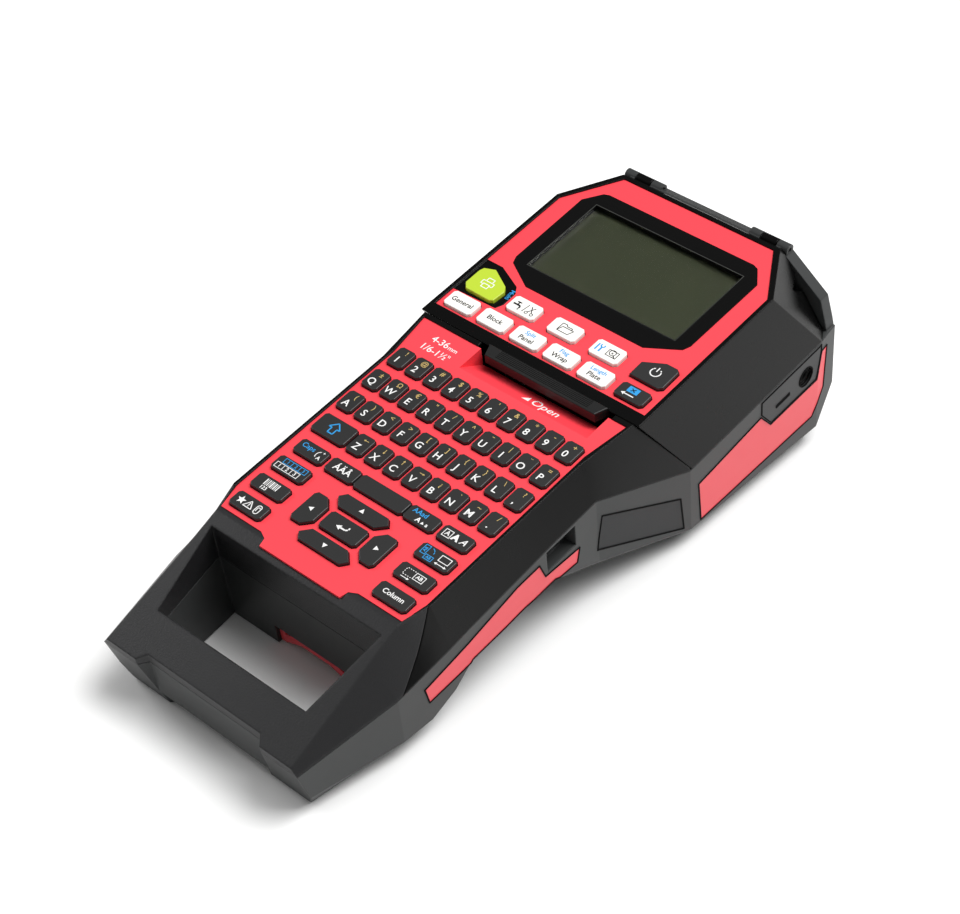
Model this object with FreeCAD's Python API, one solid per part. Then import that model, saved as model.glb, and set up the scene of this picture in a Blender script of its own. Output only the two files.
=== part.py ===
import FreeCAD, Part

import math
import os
from collections import namedtuple

V = FreeCAD.Vector

# Handheld label maker: a wedge-shaped case with a loop handle, a keyboard
# deck and a hinged display cover over the tape bay.
#
# Everything is drawn in the face frame (mm): X across the face, Y away from
# the handle, Z out of the face, with z = 0 on the key tops and y = 0 on the
# number row.  leaned() tips the whole machine back by TILT, so that it rests
# on z = 0, and build() moves the origin under the middle of its length.

# ---- driving dimensions -------------------------------------------------
TILT = 9.0              # lean of the face against the table, degrees
WALL = 2.5              # shell wall
RUN = 0.08              # radial running clearance of shafts and pins
SLIDE = 0.35            # clearance round keys and other moving pieces
SEAT = 0.1              # gap between pieces of one body that only meet
FOOT_RISE = 0.8         # the case stands this far off the table

GRIP_FRONT = -168.0     # front of the handle feet
OPEN_NEAR = -148.5      # hand opening, edge by the grip bar
OPEN_FAR = -111.0       # hand opening, edge by the keyboard
OPEN_NEAR_HALF = 40.0
OPEN_FAR_HALF = 45.5
DECK_NEAR = -103.0
NECK_FAR = -3.0         # end of the parallel keyboard section
COVER_NEAR = 27.0       # seam between keyboard frame and cover, at the face
SHOULDER = 47.0         # start of the full-width section
FAR_CORNER = 138.0
COVER_FAR = 146.2       # far wall of the cover
BACK_NEAR = 146.6       # back wall that carries the hinge
HOUSING_FAR = 152.0

FRONT_HALF = 52.5       # half width at the handle front
KEY_HALF = 60.0         # half width of the keyboard section
BODY_HALF = 68.0        # half width of the display section
DECK_RIDGE_HALF = 52.5
FACE_RIDGE_HALF = 58.3

RIDGE_Z = -1.0          # rim that frames the red panels
PANEL_Z = -1.6          # upper face of the red panels
PANEL_T = 1.8
PLATE_T = 2.0           # shell plate under the panels
FRONT_RIDGE_Z = -20.5
FRONT_SEAM_Z = -24.0
KEY_SEAM_Z = -20.0
NECK_SEAM_Z = -17.0
COVER_SEAM_Z = -38.0
FRONT_BASE_Z = -49.5    # table under the handle front
ARCH_Z = -47.0          # underside of the keyboard section
ARCH_NEAR = -80.0
ARCH_FAR = -30.0

KEY_PITCH = 10.0
ROW_PITCH = 15.4
KEY_W = 8.3
KEY_L = 10.8
WIDE_W = 17.2
WIDE_L = 7.8
WIDE_PITCH = 17.3
SIDE_ROW_PITCH = 11.8
WHITE_W = 15.0
WHITE_L = 9.0
KEY_DEPTH = 4.2         # cap height below the key tops
KEY_CUT = 1.2           # corner cut of a cap
CAP_ROUND = 0.45

LCD_HALF_W = 39.6
LCD_NEAR = 75.0
LCD_FAR = 122.0

HINGE_Y = 149.4
HINGE_Z = -4.4
KNUCKLE_R = 2.6
HINGE_PIN_R = 1.1
LUG_X = 24.0
LUG_W = 5.6
KNUCKLE_W = 8.0
BACK_TOP = -2.9         # top of the back wall, under the sweep of the cover
FOOT_LEAN = 0.22        # set-back of the handle front per mm of depth

BAY_NEAR = 66.0
BAY_FAR = 142.0
BAY_LEFT = -62.0
BAY_RIGHT = 50.0
BAY_FLOOR = -72.0
BAY_T = 1.8
BAY_TOP = -40.0

MODULE = 0.8
PLATEN_TEETH = 24
IDLER_TEETH = 30
SPINDLE_TEETH = 24
PINION_TEETH = 12
IDLER_X = -32.0
IDLER_Y = 74.0
GEAR_TOP = -75.0
GEAR_T = 3.0
PLATEN_ANGLE = 157.8    # direction of the platen gear seen from the idler
SPINDLE_ANGLE = 33.6
PINION_ANGLE = -90.0
ROLLER_R = 5.0
SHAFT_R = 2.0
MOTOR_R = 8.0
TAPE_GAP = 0.3

CASSETTE_RIGHT = 42.0
CASSETTE_FAR = 139.5
CASSETTE_TOP = -31.0
ROLL_R = 20.0
SPOOL_BORE_R = 5.0

BATTERY_HALF = 20.0
BATTERY_NEAR = -104.0
BATTERY_FAR = -34.0
BATTERY_TOP = -26.0
BATTERY_PLATE_T = 2.4

INLAY_T = 1.2


# ---- helpers --------------------------------------------------------------
def base_z(y):
    """Table height under y, plus the rise of the feet."""
    return FRONT_BASE_Z + FOOT_RISE - (y - GRIP_FRONT) * math.tan(math.radians(TILT))


def box(x0, x1, y0, y1, z0, z1):
    return Part.makeBox(x1 - x0, y1 - y0, z1 - z0, V(x0, y0, z0))


def prism(points, direction):
    """Solid swept from a closed outline of vectors."""
    return Part.Face(Part.makePolygon(points + points[:1])).extrude(direction)


def prism_x(outline, x0, x1):
    return prism([V(x0, y, z) for y, z in outline], V(x1 - x0, 0, 0))


def prism_y(outline, y0, y1):
    return prism([V(x, y0, z) for x, z in outline], V(0, y1 - y0, 0))


def prism_z(outline, z0, z1):
    return prism([V(x, y, z0) for x, y in outline], V(0, 0, z1 - z0))


def rod(x, y, z0, z1, radius):
    return Part.makeCylinder(radius, z1 - z0, V(x, y, z0))


def rod_x(x0, x1, y, z, radius):
    return Part.makeCylinder(radius, x1 - x0, V(x0, y, z), V(1, 0, 0))


def mirrored(shape):
    return shape.mirror(V(0, 0, 0), V(1, 0, 0))


def both_sides(shape):
    return [shape, mirrored(shape)]


def fused(shapes):
    return shapes[0].multiFuse(shapes[1:]).removeSplitter() if len(shapes) > 1 else shapes[0]


def closed_outline(right_side):
    """Outline that is the same left and right, from its right-hand points."""
    return right_side + [(-x, y) for x, y in reversed(right_side)]


def grown(outline, by):
    """Convex outline with every side moved outwards."""
    count = len(outline)
    area = sum(outline[i][0] * outline[(i + 1) % count][1] - outline[(i + 1) % count][0] * outline[i][1]
               for i in range(count))
    turn = 1.0 if area > 0 else -1.0
    lines = []
    for i in range(count):
        (ax, ay), (bx, by_) = outline[i], outline[(i + 1) % count]
        length = math.hypot(bx - ax, by_ - ay)
        nx = turn * (by_ - ay) / length
        ny = -turn * (bx - ax) / length
        lines.append((nx, ny, nx * ax + ny * ay + by))
    corners = []
    for i in range(count):
        a1, b1, c1 = lines[i - 1]
        a2, b2, c2 = lines[i]
        det = a1 * b2 - a2 * b1
        corners.append(((c1 * b2 - c2 * b1) / det, (a1 * c2 - a2 * c1) / det))
    return corners


def beyond(point, normal):
    """Large block that fills the side of a plane that its normal points to."""
    size = 600.0
    block = Part.makeBox(size, size, size, V(-size / 2, -size / 2, 0))
    block.Placement = FreeCAD.Placement(V(*point), FreeCAD.Rotation(V(0, 0, 1), V(*normal)))
    return block


def plane_normal(a, b, c):
    return (V(*b) - V(*a)).cross(V(*c) - V(*a))


def rounded_top(solid, radius):
    """Rounds the edges of the highest flat face."""
    top = solid.BoundBox.ZMax
    edges = [e for e in solid.Edges if e.BoundBox.ZMin > top - 1e-4]
    return solid.makeFillet(radius, edges)


def leaned(shapes):
    """Pieces of one node, leaned back and standing on z = 0."""
    parts = shapes if isinstance(shapes, list) else [shapes]
    solids = [s for shape in parts for s in shape.Solids]
    angle = math.radians(TILT)
    drop = (FRONT_BASE_Z + GRIP_FRONT * math.tan(angle)) * math.cos(angle)
    out = Part.makeCompound(solids) if len(solids) > 1 else solids[0].copy()
    out.rotate(V(0, 0, 0), V(1, 0, 0), TILT)
    out.translate(V(0, 0, -drop))
    return out


# ---- outer forms ------------------------------------------------------------
Station = namedtuple("Station", "y ridge_x ridge_z seam_x seam_z base")


def stations():
    """Cross-sections of the case from the handle to the far wall."""
    slope = (RIDGE_Z - FRONT_RIDGE_Z) / (DECK_NEAR - GRIP_FRONT)
    bend_y = OPEN_FAR - 10.0

    def ridge(y):
        return min(RIDGE_Z, FRONT_RIDGE_Z + slope * (y - GRIP_FRONT))

    return [
        Station(GRIP_FRONT, FRONT_HALF - 2.5, FRONT_RIDGE_Z, FRONT_HALF, FRONT_SEAM_Z,
                base_z(GRIP_FRONT)),
        Station(bend_y, OPEN_FAR_HALF + 3.0, ridge(bend_y), KEY_HALF, KEY_SEAM_Z - 2.0, base_z(bend_y)),
        Station(DECK_NEAR - 2.0, OPEN_FAR_HALF + 3.0, ridge(DECK_NEAR - 2.0), KEY_HALF, KEY_SEAM_Z - 1.5,
                base_z(DECK_NEAR - 2.0)),
        Station(DECK_NEAR + 12.0, DECK_RIDGE_HALF, RIDGE_Z, KEY_HALF, KEY_SEAM_Z - 1.0,
                base_z(DECK_NEAR - 2.0) + 4.0),
        Station(ARCH_NEAR, DECK_RIDGE_HALF, RIDGE_Z, KEY_HALF, KEY_SEAM_Z, ARCH_Z),
        Station(ARCH_FAR, DECK_RIDGE_HALF, RIDGE_Z, KEY_HALF, NECK_SEAM_Z - 0.5, ARCH_Z),
        Station(NECK_FAR, DECK_RIDGE_HALF, RIDGE_Z, KEY_HALF, NECK_SEAM_Z, ARCH_Z - 15.0),
        Station(SHOULDER, FACE_RIDGE_HALF, RIDGE_Z, BODY_HALF, COVER_SEAM_Z, base_z(SHOULDER)),
    ]


def upper_form(inset=0.0):
    """Skin above the seam, from the handle to the shoulder, drawn in by inset."""
    sections = []
    for s in stations():
        ridge_x = s.ridge_x - 0.7 * inset
        seam_x = s.seam_x - inset
        top = s.ridge_z - inset
        left, right = V(-seam_x, s.y, s.seam_z), V(seam_x, s.y, s.seam_z)
        points = [right, V(ridge_x, s.y, top), V(-ridge_x, s.y, top), left]
        sections.append(Part.makePolygon(points + points[:1]))
    return Part.makeLoft(sections, True, True)


def lower_form(inset=0.0):
    """Tub below the seam over the whole length, drawn in by inset."""
    side_drop = 8.0
    far = [
        Station(FAR_CORNER, 0, 0, BODY_HALF, COVER_SEAM_Z, base_z(FAR_CORNER)),
        Station(HOUSING_FAR - inset, 0, 0, BODY_HALF - 1.6, COVER_SEAM_Z, base_z(FAR_CORNER) + 16.0),
    ]
    sections = []
    for s in stations() + far:
        low = s.base + inset
        seam_x = s.seam_x - inset
        base_in = 4.0 if s.y < OPEN_NEAR else 7.0
        right = [(seam_x, s.seam_z - SEAT), (seam_x - 0.5, low + side_drop), (seam_x - base_in, low)]
        points = [V(x, s.y, z) for x, z in closed_outline(right)]
        sections.append(Part.makePolygon(points + points[:1]))
    return Part.makeLoft(sections, True, True)


def cover_near_plane(gap=0.0):
    """Slanted seam between the keyboard frame and the cover."""
    point = (0, COVER_NEAR + gap, RIDGE_Z)
    rise = COVER_SEAM_Z - RIDGE_Z
    run = SHOULDER + 1.0 - COVER_NEAR
    return point, (0, rise, -run)


def cover_form(inset=0.0):
    """Faceted block of the display cover, drawn in by inset."""
    form = box(-BODY_HALF, BODY_HALF, COVER_NEAR, COVER_FAR - inset, COVER_SEAM_Z + SEAT, RIDGE_Z - inset)
    point, normal = cover_near_plane(SLIDE + inset * 1.15)
    form = form.cut(beyond(point, normal))
    face_far = COVER_FAR - 1.7
    cut_far_x = FACE_RIDGE_HALF - 15.8
    cut_near_y = face_far - 27.0
    flank = plane_normal((FACE_RIDGE_HALF, 0, RIDGE_Z), (BODY_HALF, 0, COVER_SEAM_Z),
                         (BODY_HALF, 50, COVER_SEAM_Z))
    corner = plane_normal((cut_far_x, face_far, RIDGE_Z), (FACE_RIDGE_HALF, cut_near_y, RIDGE_Z),
                          (BODY_HALF, FAR_CORNER, COVER_SEAM_Z + 2.0))
    facets = [
        ((FACE_RIDGE_HALF, 0, RIDGE_Z), flank),
        ((FACE_RIDGE_HALF, cut_near_y, RIDGE_Z), corner),
    ]
    for point, normal in facets:
        outward = normal if normal.x > 0 else normal * -1
        outward.normalize()
        start = V(*point) - outward * inset
        cutter = beyond(start, outward)
        form = form.cut(cutter).cut(mirrored(cutter))
    return form.cut(beyond((0, face_far - inset, RIDGE_Z), (0, 0.62, 0.78)))


def opening_outline(grow=0.0):
    """Hand opening between the grip bar and the keyboard."""
    return grown([(OPEN_NEAR_HALF, OPEN_NEAR), (OPEN_FAR_HALF, OPEN_FAR),
                  (-OPEN_FAR_HALF, OPEN_FAR), (-OPEN_NEAR_HALF, OPEN_NEAR)], grow)


def opening(grow=0.0):
    return prism_z(opening_outline(grow), -90.0, 10.0)


# ---- keys ---------------------------------------------------------------
def cap_outline(x, y, width, length, cut=KEY_CUT):
    a = width / 2
    b = length / 2
    corners = [(a, -b + cut), (a, b - cut), (a - cut, b), (-a + cut, b),
               (-a, b - cut), (-a, -b + cut), (-a + cut, -b), (a - cut, -b)]
    return [(x + i, y + j) for i, j in corners]


def column_x(column):
    return KEY_PITCH * (column - 4.5)


def row_of_keys(row, first, last):
    return [cap_outline(column_x(c), -ROW_PITCH * row, KEY_W, KEY_L) for c in range(first, last + 1)]


EDIT_Y = -ROW_PITCH * 3 - 14.4
SIDE_X = KEY_PITCH * 3.85
NAV_Y = EDIT_Y - 22.2
ENTER_W = 19.6
ENTER_L = 9.4
NAV_GAP = 2.4
UP_L = 7.2
ARROW_W = 9.8


def up_outline():
    near = NAV_Y + ENTER_L / 2 + NAV_GAP
    far = near + UP_L
    half = ENTER_W / 2
    return [(half + 1.1, far), (half + 3.6, far - 3.0), (half - 0.6, near),
            (-half + 0.2, near), (-half - 3.6, far - 3.0), (-half - 1.1, far)]


def down_outline():
    return [(x, 2 * NAV_Y - y) for x, y in up_outline()]


def right_outline():
    inner = ENTER_W / 2 + NAV_GAP
    outer = inner + ARROW_W
    return [(inner, NAV_Y + 4.2), (inner + 3.8, NAV_Y + 8.2), (outer - 1.2, NAV_Y + 8.2),
            (outer, NAV_Y + 6.6), (outer, NAV_Y - 6.6), (outer - 1.2, NAV_Y - 8.2),
            (inner + 3.8, NAV_Y - 8.2), (inner, NAV_Y - 4.2)]


def left_outline():
    return [(-x, y) for x, y in right_outline()]


def deck_keys():
    """Cap outlines of the keyboard, one list per node."""
    edit_x = [-SIDE_X, -SIDE_X + WIDE_PITCH, SIDE_X - WIDE_PITCH, SIDE_X]
    side_y = [EDIT_Y - SIDE_ROW_PITCH * k for k in (1, 2, 3)]
    return {
        "number_row_keys": row_of_keys(0, 0, 9),
        "upper_letter_keys": row_of_keys(1, 0, 9),
        "middle_letter_keys": row_of_keys(2, 0, 9),
        "lower_letter_keys": row_of_keys(3, 2, 9),
        "shift_key": [cap_outline(column_x(0.55), -ROW_PITCH * 3, 2 * KEY_PITCH - 1.9, KEY_L)],
        "edit_keys": [cap_outline(x, EDIT_Y, WIDE_W - 2.0, WIDE_L) for x in edit_x],
        "space_bar": [cap_outline(0, EDIT_Y, 26.0, WIDE_L)],
        "symbol_keys": [cap_outline(-SIDE_X, y, WIDE_W, WIDE_L) for y in side_y],
        "layout_keys": [cap_outline(SIDE_X, y, WIDE_W, WIDE_L) for y in side_y],
        "enter_key": [cap_outline(0, NAV_Y, ENTER_W, ENTER_L)],
        "up_arrow_key": [up_outline()],
        "down_arrow_key": [down_outline()],
        "left_arrow_key": [left_outline()],
        "right_arrow_key": [right_outline()],
    }


PRINT_OUTLINE = [(-36.2, 48.4), (-35.6, 55.0), (-37.6, 58.0), (-47.6, 63.6), (-52.6, 61.6),
                 (-53.4, 59.4), (-53.4, 50.4), (-51.0, 47.6), (-37.8, 47.4)]
PRINT_SURROUND = [(-33.6, 46.4), (-32.0, 50.0), (-32.2, 58.0), (-34.6, 61.6), (-47.4, 67.6), (-56.2, 67.6),
                  (-56.2, 45.4)]
POWER_OUTLINE = [(37.2, 48.0), (51.6, 47.8), (53.4, 49.4), (53.2, 60.0), (51.8, 61.4), (46.2, 61.4),
                 (37.0, 56.4)]
WHITE_FAR_Y = 52.7
WHITE_NEAR_Y = 39.8


def cover_keys():
    """Cap outlines on the display cover, one list per node."""
    return {
        "print_key": [PRINT_OUTLINE],
        "power_key": [POWER_OUTLINE],
        "backspace_key": [cap_outline(45.4, WHITE_NEAR_Y, 14.6, WHITE_L - 0.8)],
        "tool_keys": [cap_outline(x, WHITE_FAR_Y, WHITE_W, WHITE_L) for x in (-22.4, -0.2, 22.2)],
        "mode_keys": [cap_outline(-46.0 + 18.1 * k, WHITE_NEAR_Y, WHITE_W, WHITE_L) for k in range(5)],
    }


def caps(outlines, top=0.0):
    return [rounded_top(prism_z(o, top - KEY_DEPTH, top), CAP_ROUND) for o in outlines]


def cap_holes(outlines):
    return [prism_z(grown(o, SLIDE), -20.0, 5.0) for o in outlines]


# ---- red panels -----------------------------------------------------------
PANEL_BOTTOM = PANEL_Z - PANEL_T
PLATE_BOTTOM = PANEL_BOTTOM - PLATE_T
RECESS_LEFT = -22.5
RECESS_RIGHT = 45.0
RECESS_NEAR = 10.8
RECESS_DROP = 9.4


def deck_outline(grow=0.0):
    half = DECK_RIDGE_HALF - 1.6
    tab = [(21.4, DECK_NEAR - 5.0), (22.4, DECK_NEAR - 1.2), (26.0, DECK_NEAR + 0.6)]
    right = tab + [(half - 2.6, DECK_NEAR + 0.6), (half, DECK_NEAR + 12.0), (half, NECK_FAR + 5.0),
                   (half + 3.3, COVER_NEAR - 2.4)]
    shifted = [(x + (grow if x > 22 else 0), y - (grow if y < 0 else -grow)) for x, y in right]
    return closed_outline(shifted)


def deck_panel():
    """Red keyboard panel with the sloped finger recess in front of the cover."""
    panel = prism_z(deck_outline(), PANEL_BOTTOM, PANEL_Z)
    far = COVER_NEAR - 2.4
    panel = panel.cut(box(RECESS_LEFT, RECESS_RIGHT, RECESS_NEAR, far + 1, -10, 5))
    side = 1.4
    low = PANEL_Z - RECESS_DROP
    tray = prism_x([(RECESS_NEAR - 1.0, PANEL_Z), (RECESS_NEAR, PANEL_Z), (far, low), (far, low - PANEL_T),
                    (RECESS_NEAR - 1.0, PANEL_BOTTOM)], RECESS_LEFT - side, RECESS_RIGHT + side)
    wall = [(RECESS_NEAR - 1.0, PANEL_Z), (far, PANEL_Z), (far, low - PANEL_T),
            (RECESS_NEAR - 1.0, PANEL_BOTTOM)]
    walls = [prism_x(wall, RECESS_LEFT - side, RECESS_LEFT), prism_x(wall, RECESS_RIGHT, RECESS_RIGHT + side)]
    panel = fused([panel, tray] + walls)
    holes = [h for outlines in deck_keys().values() for h in cap_holes(outlines)]
    return panel.cut(holes)


FACE_NEAR = COVER_NEAR + 6.8
FACE_FAR = COVER_FAR - 3.7


def face_outline(grow=0.0):
    half = FACE_RIDGE_HALF - 2.2 + grow
    return closed_outline([(half, FACE_NEAR - grow), (half, FACE_FAR - 26.0), (half - 15.8, FACE_FAR + grow)])


def bezel_outline():
    return closed_outline([(31.4, LCD_NEAR - 11.0), (45.6, LCD_NEAR - 2.6), (47.0, LCD_NEAR + 1.0),
                           (47.4, LCD_FAR - 0.8), (41.6, LCD_FAR + 7.4), (39.0, LCD_FAR + 8.4)])


def cover_face():
    """Red panel round the display with the holes for the cover's keys."""
    panel = prism_z(face_outline(), PANEL_BOTTOM, PANEL_Z)
    panel = panel.cut(prism_z(grown(bezel_outline(), SEAT), -10, 5))
    panel = panel.cut(prism_z(grown(PRINT_SURROUND, SEAT), -10, 5))
    holes = [h for outlines in cover_keys().values() for h in cap_holes(outlines)]
    return panel.cut(holes)


def lcd_bezel():
    ring = prism_z(bezel_outline(), PLATE_BOTTOM, PANEL_Z + 0.3)
    window = [(LCD_HALF_W, LCD_NEAR), (LCD_HALF_W, LCD_FAR), (-LCD_HALF_W, LCD_FAR), (-LCD_HALF_W, LCD_NEAR)]
    ring = ring.cut(prism_z(window, -10, 5))
    return ring.cut(prism_z(grown(window, 1.6), PLATE_BOTTOM - 1, PANEL_BOTTOM))


def lcd_window():
    return box(-LCD_HALF_W - 1.5, LCD_HALF_W + 1.5, LCD_NEAR - 1.5, LCD_FAR + 1.5, PLATE_BOTTOM + 0.8,
               PANEL_BOTTOM)


LCD_PANEL_T = 3.4
COVER_BOARD_TOP = PLATE_BOTTOM - LCD_PANEL_T - 0.4
BOARD_T = 1.6
LINER_TOP = -20.0
LINER_T = 1.6


def lcd_panel():
    top = PLATE_BOTTOM + 0.6
    back = box(-LCD_HALF_W - 3, LCD_HALF_W + 3, LCD_NEAR - 4, LCD_FAR + 4, top - LCD_PANEL_T - 1.0,
               PLATE_BOTTOM - 0.1)
    glass = box(-LCD_HALF_W - 1.4, LCD_HALF_W + 1.4, LCD_NEAR - 1.4, LCD_FAR + 1.4, PLATE_BOTTOM - 1, top)
    return fused([back, glass])


def cover_circuit_board():
    top = COVER_BOARD_TOP
    return box(-46, 46, FACE_NEAR + 2, LCD_FAR + 6, top - BOARD_T, top)


def cover_liner():
    """Inner tray that closes the cover over the tape bay."""
    inner = cover_form(WALL + SEAT)
    bottom = LINER_TOP - LINER_T
    plate = inner.common(box(-80, 80, COVER_NEAR + 12, COVER_FAR - 5, bottom, LINER_TOP))
    posts = [rod(x, y, LINER_TOP - 1, COVER_BOARD_TOP - BOARD_T, 3.0)
             for x in (-40, 40) for y in (COVER_NEAR + 22, LCD_FAR)]
    ribs = [box(-45, 45, y, y + 1.4, bottom - 3.0, bottom + 0.5) for y in (BAY_NEAR + 10, BAY_NEAR + 36)]
    return fused([plate] + posts + ribs)


LIP_LEFT = -20.5
LIP_RIGHT = 42.5


def lift_lip():
    """Ridged finger lip on the near edge of the cover."""
    y1 = COVER_NEAR + 1.0
    y0 = y1 - 6.2
    outline = [(LIP_LEFT, y1), (LIP_LEFT + 2.4, y0), (LIP_RIGHT - 2.4, y0), (LIP_RIGHT, y1)]
    lip = prism_z(outline, RIDGE_Z - 4.0, RIDGE_Z + 0.8)
    lip = rounded_top(lip, 0.6)
    count = 6
    for k in range(count):
        y = y0 + 1.3 + k * 0.85
        lip = lip.cut(prism_x([(y, RIDGE_Z + 0.9), (y + 0.2, RIDGE_Z + 0.45), (y + 0.4, RIDGE_Z + 0.9)],
                              LIP_LEFT + 7, LIP_RIGHT - 7))
    tongue = box(LIP_LEFT + 2, LIP_RIGHT - 2, y1 - 0.5, COVER_NEAR + 5.0, RIDGE_Z - 4.0, PANEL_BOTTOM)
    return fused([lip, tongue])


def knuckle_spans():
    """X spans of the cover's hinge knuckles, right then left."""
    x0 = LUG_X + LUG_W + 0.4
    return [(x0, x0 + KNUCKLE_W), (-x0 - KNUCKLE_W, -x0)]


def lug_spans():
    x1 = LUG_X + LUG_W + KNUCKLE_W + 0.8
    right = [(LUG_X, LUG_X + LUG_W), (x1, x1 + LUG_W)]
    return right + [(-b, -a) for a, b in right]


def cover_shell():
    """Black display cover: rim, plate under the red panel, skirts, knuckles."""
    shell = cover_form().cut(cover_form(WALL).cut(box(-90, 90, 0, 200, PLATE_BOTTOM, 5)))
    shell = shell.cut(box(-90, 90, 0, 200, COVER_SEAM_Z - 1, PLATE_BOTTOM).common(
        cover_form(WALL).cut(box(-90, 90, 0, 200, COVER_SEAM_Z - 1, COVER_SEAM_Z + 0.01))))
    wall_x = BODY_HALF - WALL
    mouth = grown(closed_outline([(wall_x, SHOULDER + 4), (wall_x, FAR_CORNER - 4)]), -1.0)
    shell = shell.cut(prism_z(mouth, COVER_SEAM_Z - 1, COVER_SEAM_Z + 3))
    shell = shell.cut(prism_z(face_outline(0.1), PANEL_BOTTOM, 5))
    surround = prism_z(PRINT_SURROUND, PANEL_BOTTOM - 0.5, PANEL_Z)
    shell = fused([shell, surround])
    shell = shell.cut(prism_z(grown(bezel_outline(), SEAT), PLATE_BOTTOM - 1, 5))
    holes = [h for outlines in cover_keys().values() for h in cap_holes(outlines)]
    shell = shell.cut(holes)
    lip_slot = box(LIP_LEFT - SEAT, LIP_RIGHT + SEAT, COVER_NEAR - 1, COVER_NEAR + 5.0 + SEAT,
                   RIDGE_Z - 4.0 - SEAT, PANEL_BOTTOM)
    front_notch = box(LIP_LEFT - SEAT, LIP_RIGHT + SEAT, COVER_NEAR - 1, COVER_NEAR + 1.0 + SEAT,
                      RIDGE_Z - 4.1, 5)
    shell = shell.cut([lip_slot, front_notch])
    half_far = BODY_HALF - 14.0
    shell = shell.cut(box(-half_far, half_far, FAR_CORNER, COVER_FAR + 1, COVER_SEAM_Z - 1, HINGE_Z - 9.0))
    shell = shell.cut([rod_x(a - 0.4, b + 0.4, HINGE_Y, HINGE_Z, KNUCKLE_R + 0.5) for a, b in lug_spans()])
    knuckles = []
    for a, b in knuckle_spans():
        barrel = rod_x(a, b, HINGE_Y, HINGE_Z, KNUCKLE_R)
        web = box(a, b, COVER_FAR - 2.0, HINGE_Y, HINGE_Z - KNUCKLE_R, HINGE_Z + 1.0)
        knuckles += [barrel, web]
    shell = fused([shell] + knuckles)
    return shell.cut([rod_x(a - 1, b + 1, HINGE_Y, HINGE_Z, HINGE_PIN_R + RUN) for a, b in knuckle_spans()])


def hinge_pins():
    spans = lug_spans()
    right = rod_x(spans[0][0] + 0.5, spans[1][1] - 0.5, HINGE_Y, HINGE_Z, HINGE_PIN_R)
    return both_sides(right)


# ---- upper casings ----------------------------------------------------------
def handle_plan(gap=0.0):
    """Plan of the textured handle shell, up to the rim round the deck."""
    bend = DECK_NEAR + 12.0 - gap
    right = [(80.0, GRIP_FRONT - 5.0), (80.0, GRIP_FRONT + 40.0), (KEY_HALF + 0.5, OPEN_FAR - 9.0 - gap),
             (DECK_RIDGE_HALF - 0.8, bend), (DECK_RIDGE_HALF - 4.2, DECK_NEAR + 0.2 - gap)]
    return closed_outline(right)


NOTCH_DEPTH = 4.0


def front_notch():
    """Step between the two feet of the handle front."""
    return prism_z(closed_outline([(34.5, GRIP_FRONT - 1.0), (30.5, GRIP_FRONT + NOTCH_DEPTH)]), -90, 5)


def handle_cavity(form):
    """Inside of the handle shells, kept clear of the hand opening."""
    cavity = form.cut(opening(WALL))
    lean = FOOT_LEAN * (FRONT_SEAM_Z - FRONT_BASE_Z)
    return cavity.cut(box(-90, 90, GRIP_FRONT - 10, GRIP_FRONT + NOTCH_DEPTH + lean + WALL, -90, 10))


def handle_shell():
    outer = upper_form().common(prism_z(handle_plan(), -60, 10))
    outer = outer.cut(opening()).cut(front_notch())
    outer = outer.cut(handle_cavity(upper_form(WALL)))
    outer = outer.cut(prism_z(deck_outline(0.1), PANEL_BOTTOM, 5))
    return outer


BOARD_TOP = PLATE_BOTTOM - 1.1
MAT_T = 1.0


def keyboard_frame():
    """Smooth black frame that carries the deck panel, with its two flanks."""
    point, normal = cover_near_plane()
    inside = (0, -normal[1], -normal[2])
    outer = upper_form().cut(prism_z(handle_plan(-SEAT), -60, 10)).cut(beyond(point, inside))
    outer = outer.cut(box(-80, 80, GRIP_FRONT, OPEN_FAR - 10, -80, 10))
    cavity = upper_form(WALL).cut(box(-90, 90, -200, 90, PLATE_BOTTOM, 5))
    outer = outer.cut(cavity)
    outer = outer.cut(prism_z(deck_outline(0.1), PANEL_BOTTOM, 5))
    window = box(-DECK_RIDGE_HALF + 2.9, DECK_RIDGE_HALF - 2.9, DECK_NEAR + 2.5, 8.0, PLATE_BOTTOM - 1, 0)
    tray_room = box(RECESS_LEFT - 1.8, RECESS_RIGHT + 1.8, RECESS_NEAR - 1.6, COVER_NEAR + 30, -16, 0)
    return max(outer.cut([window, tray_room]).Solids, key=lambda s: s.Volume)


def key_mat():
    return key_layer(BOARD_TOP, BOARD_TOP + MAT_T)


def key_circuit_board():
    return key_layer(BOARD_TOP - BOARD_T, BOARD_TOP)


def key_layer(bottom, top):
    """Sheet under the keys, a little wider than the frame's window."""
    half = DECK_RIDGE_HALF - 2.2
    near = DECK_NEAR + 1.5
    return prism_z(closed_outline([(half - 6.0, near), (half, near + 14.0), (half, 8.6)]), bottom, top)


# ---- lower housing ---------------------------------------------------------
FRONT_INLAY = [(-107.0, -30.0), (-82.0, -27.5), (-52.0, -22.6), (-38.5, -22.6), (-35.5, -32.0),
               (-14.5, -34.0),
               (-16.5, -41.5), (-49.0, -38.5), (-83.0, -40.0), (-105.5, -39.5)]
REAR_INLAY = [(52.4, -51.0), (96.0, -48.0), (103.0, -58.0), (137.0, -58.6), (140.6, -44.0), (145.0, -44.0),
              (143.0, -68.0), (134.0, -79.5), (53.6, -74.5)]
WAIST_GRIP = [(-0.5, -27.5), (41.5, -51.0), (43.0, -71.0), (-4.0, -46.0)]
JACK_PLATE = [(96.4, -39.6), (96.4, -47.0), (103.4, -57.4), (136.6, -58.0), (140.2, -43.4), (140.2, -39.6)]
JACK_Y = 128.6
JACK_Z = -50.0
JACK_R = 4.8
USB_NEAR = -34.0
USB_FAR = -16.5
USB_TOP = -19.0
USB_BOTTOM = -30.5
USB_DEPTH = 6.0


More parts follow.
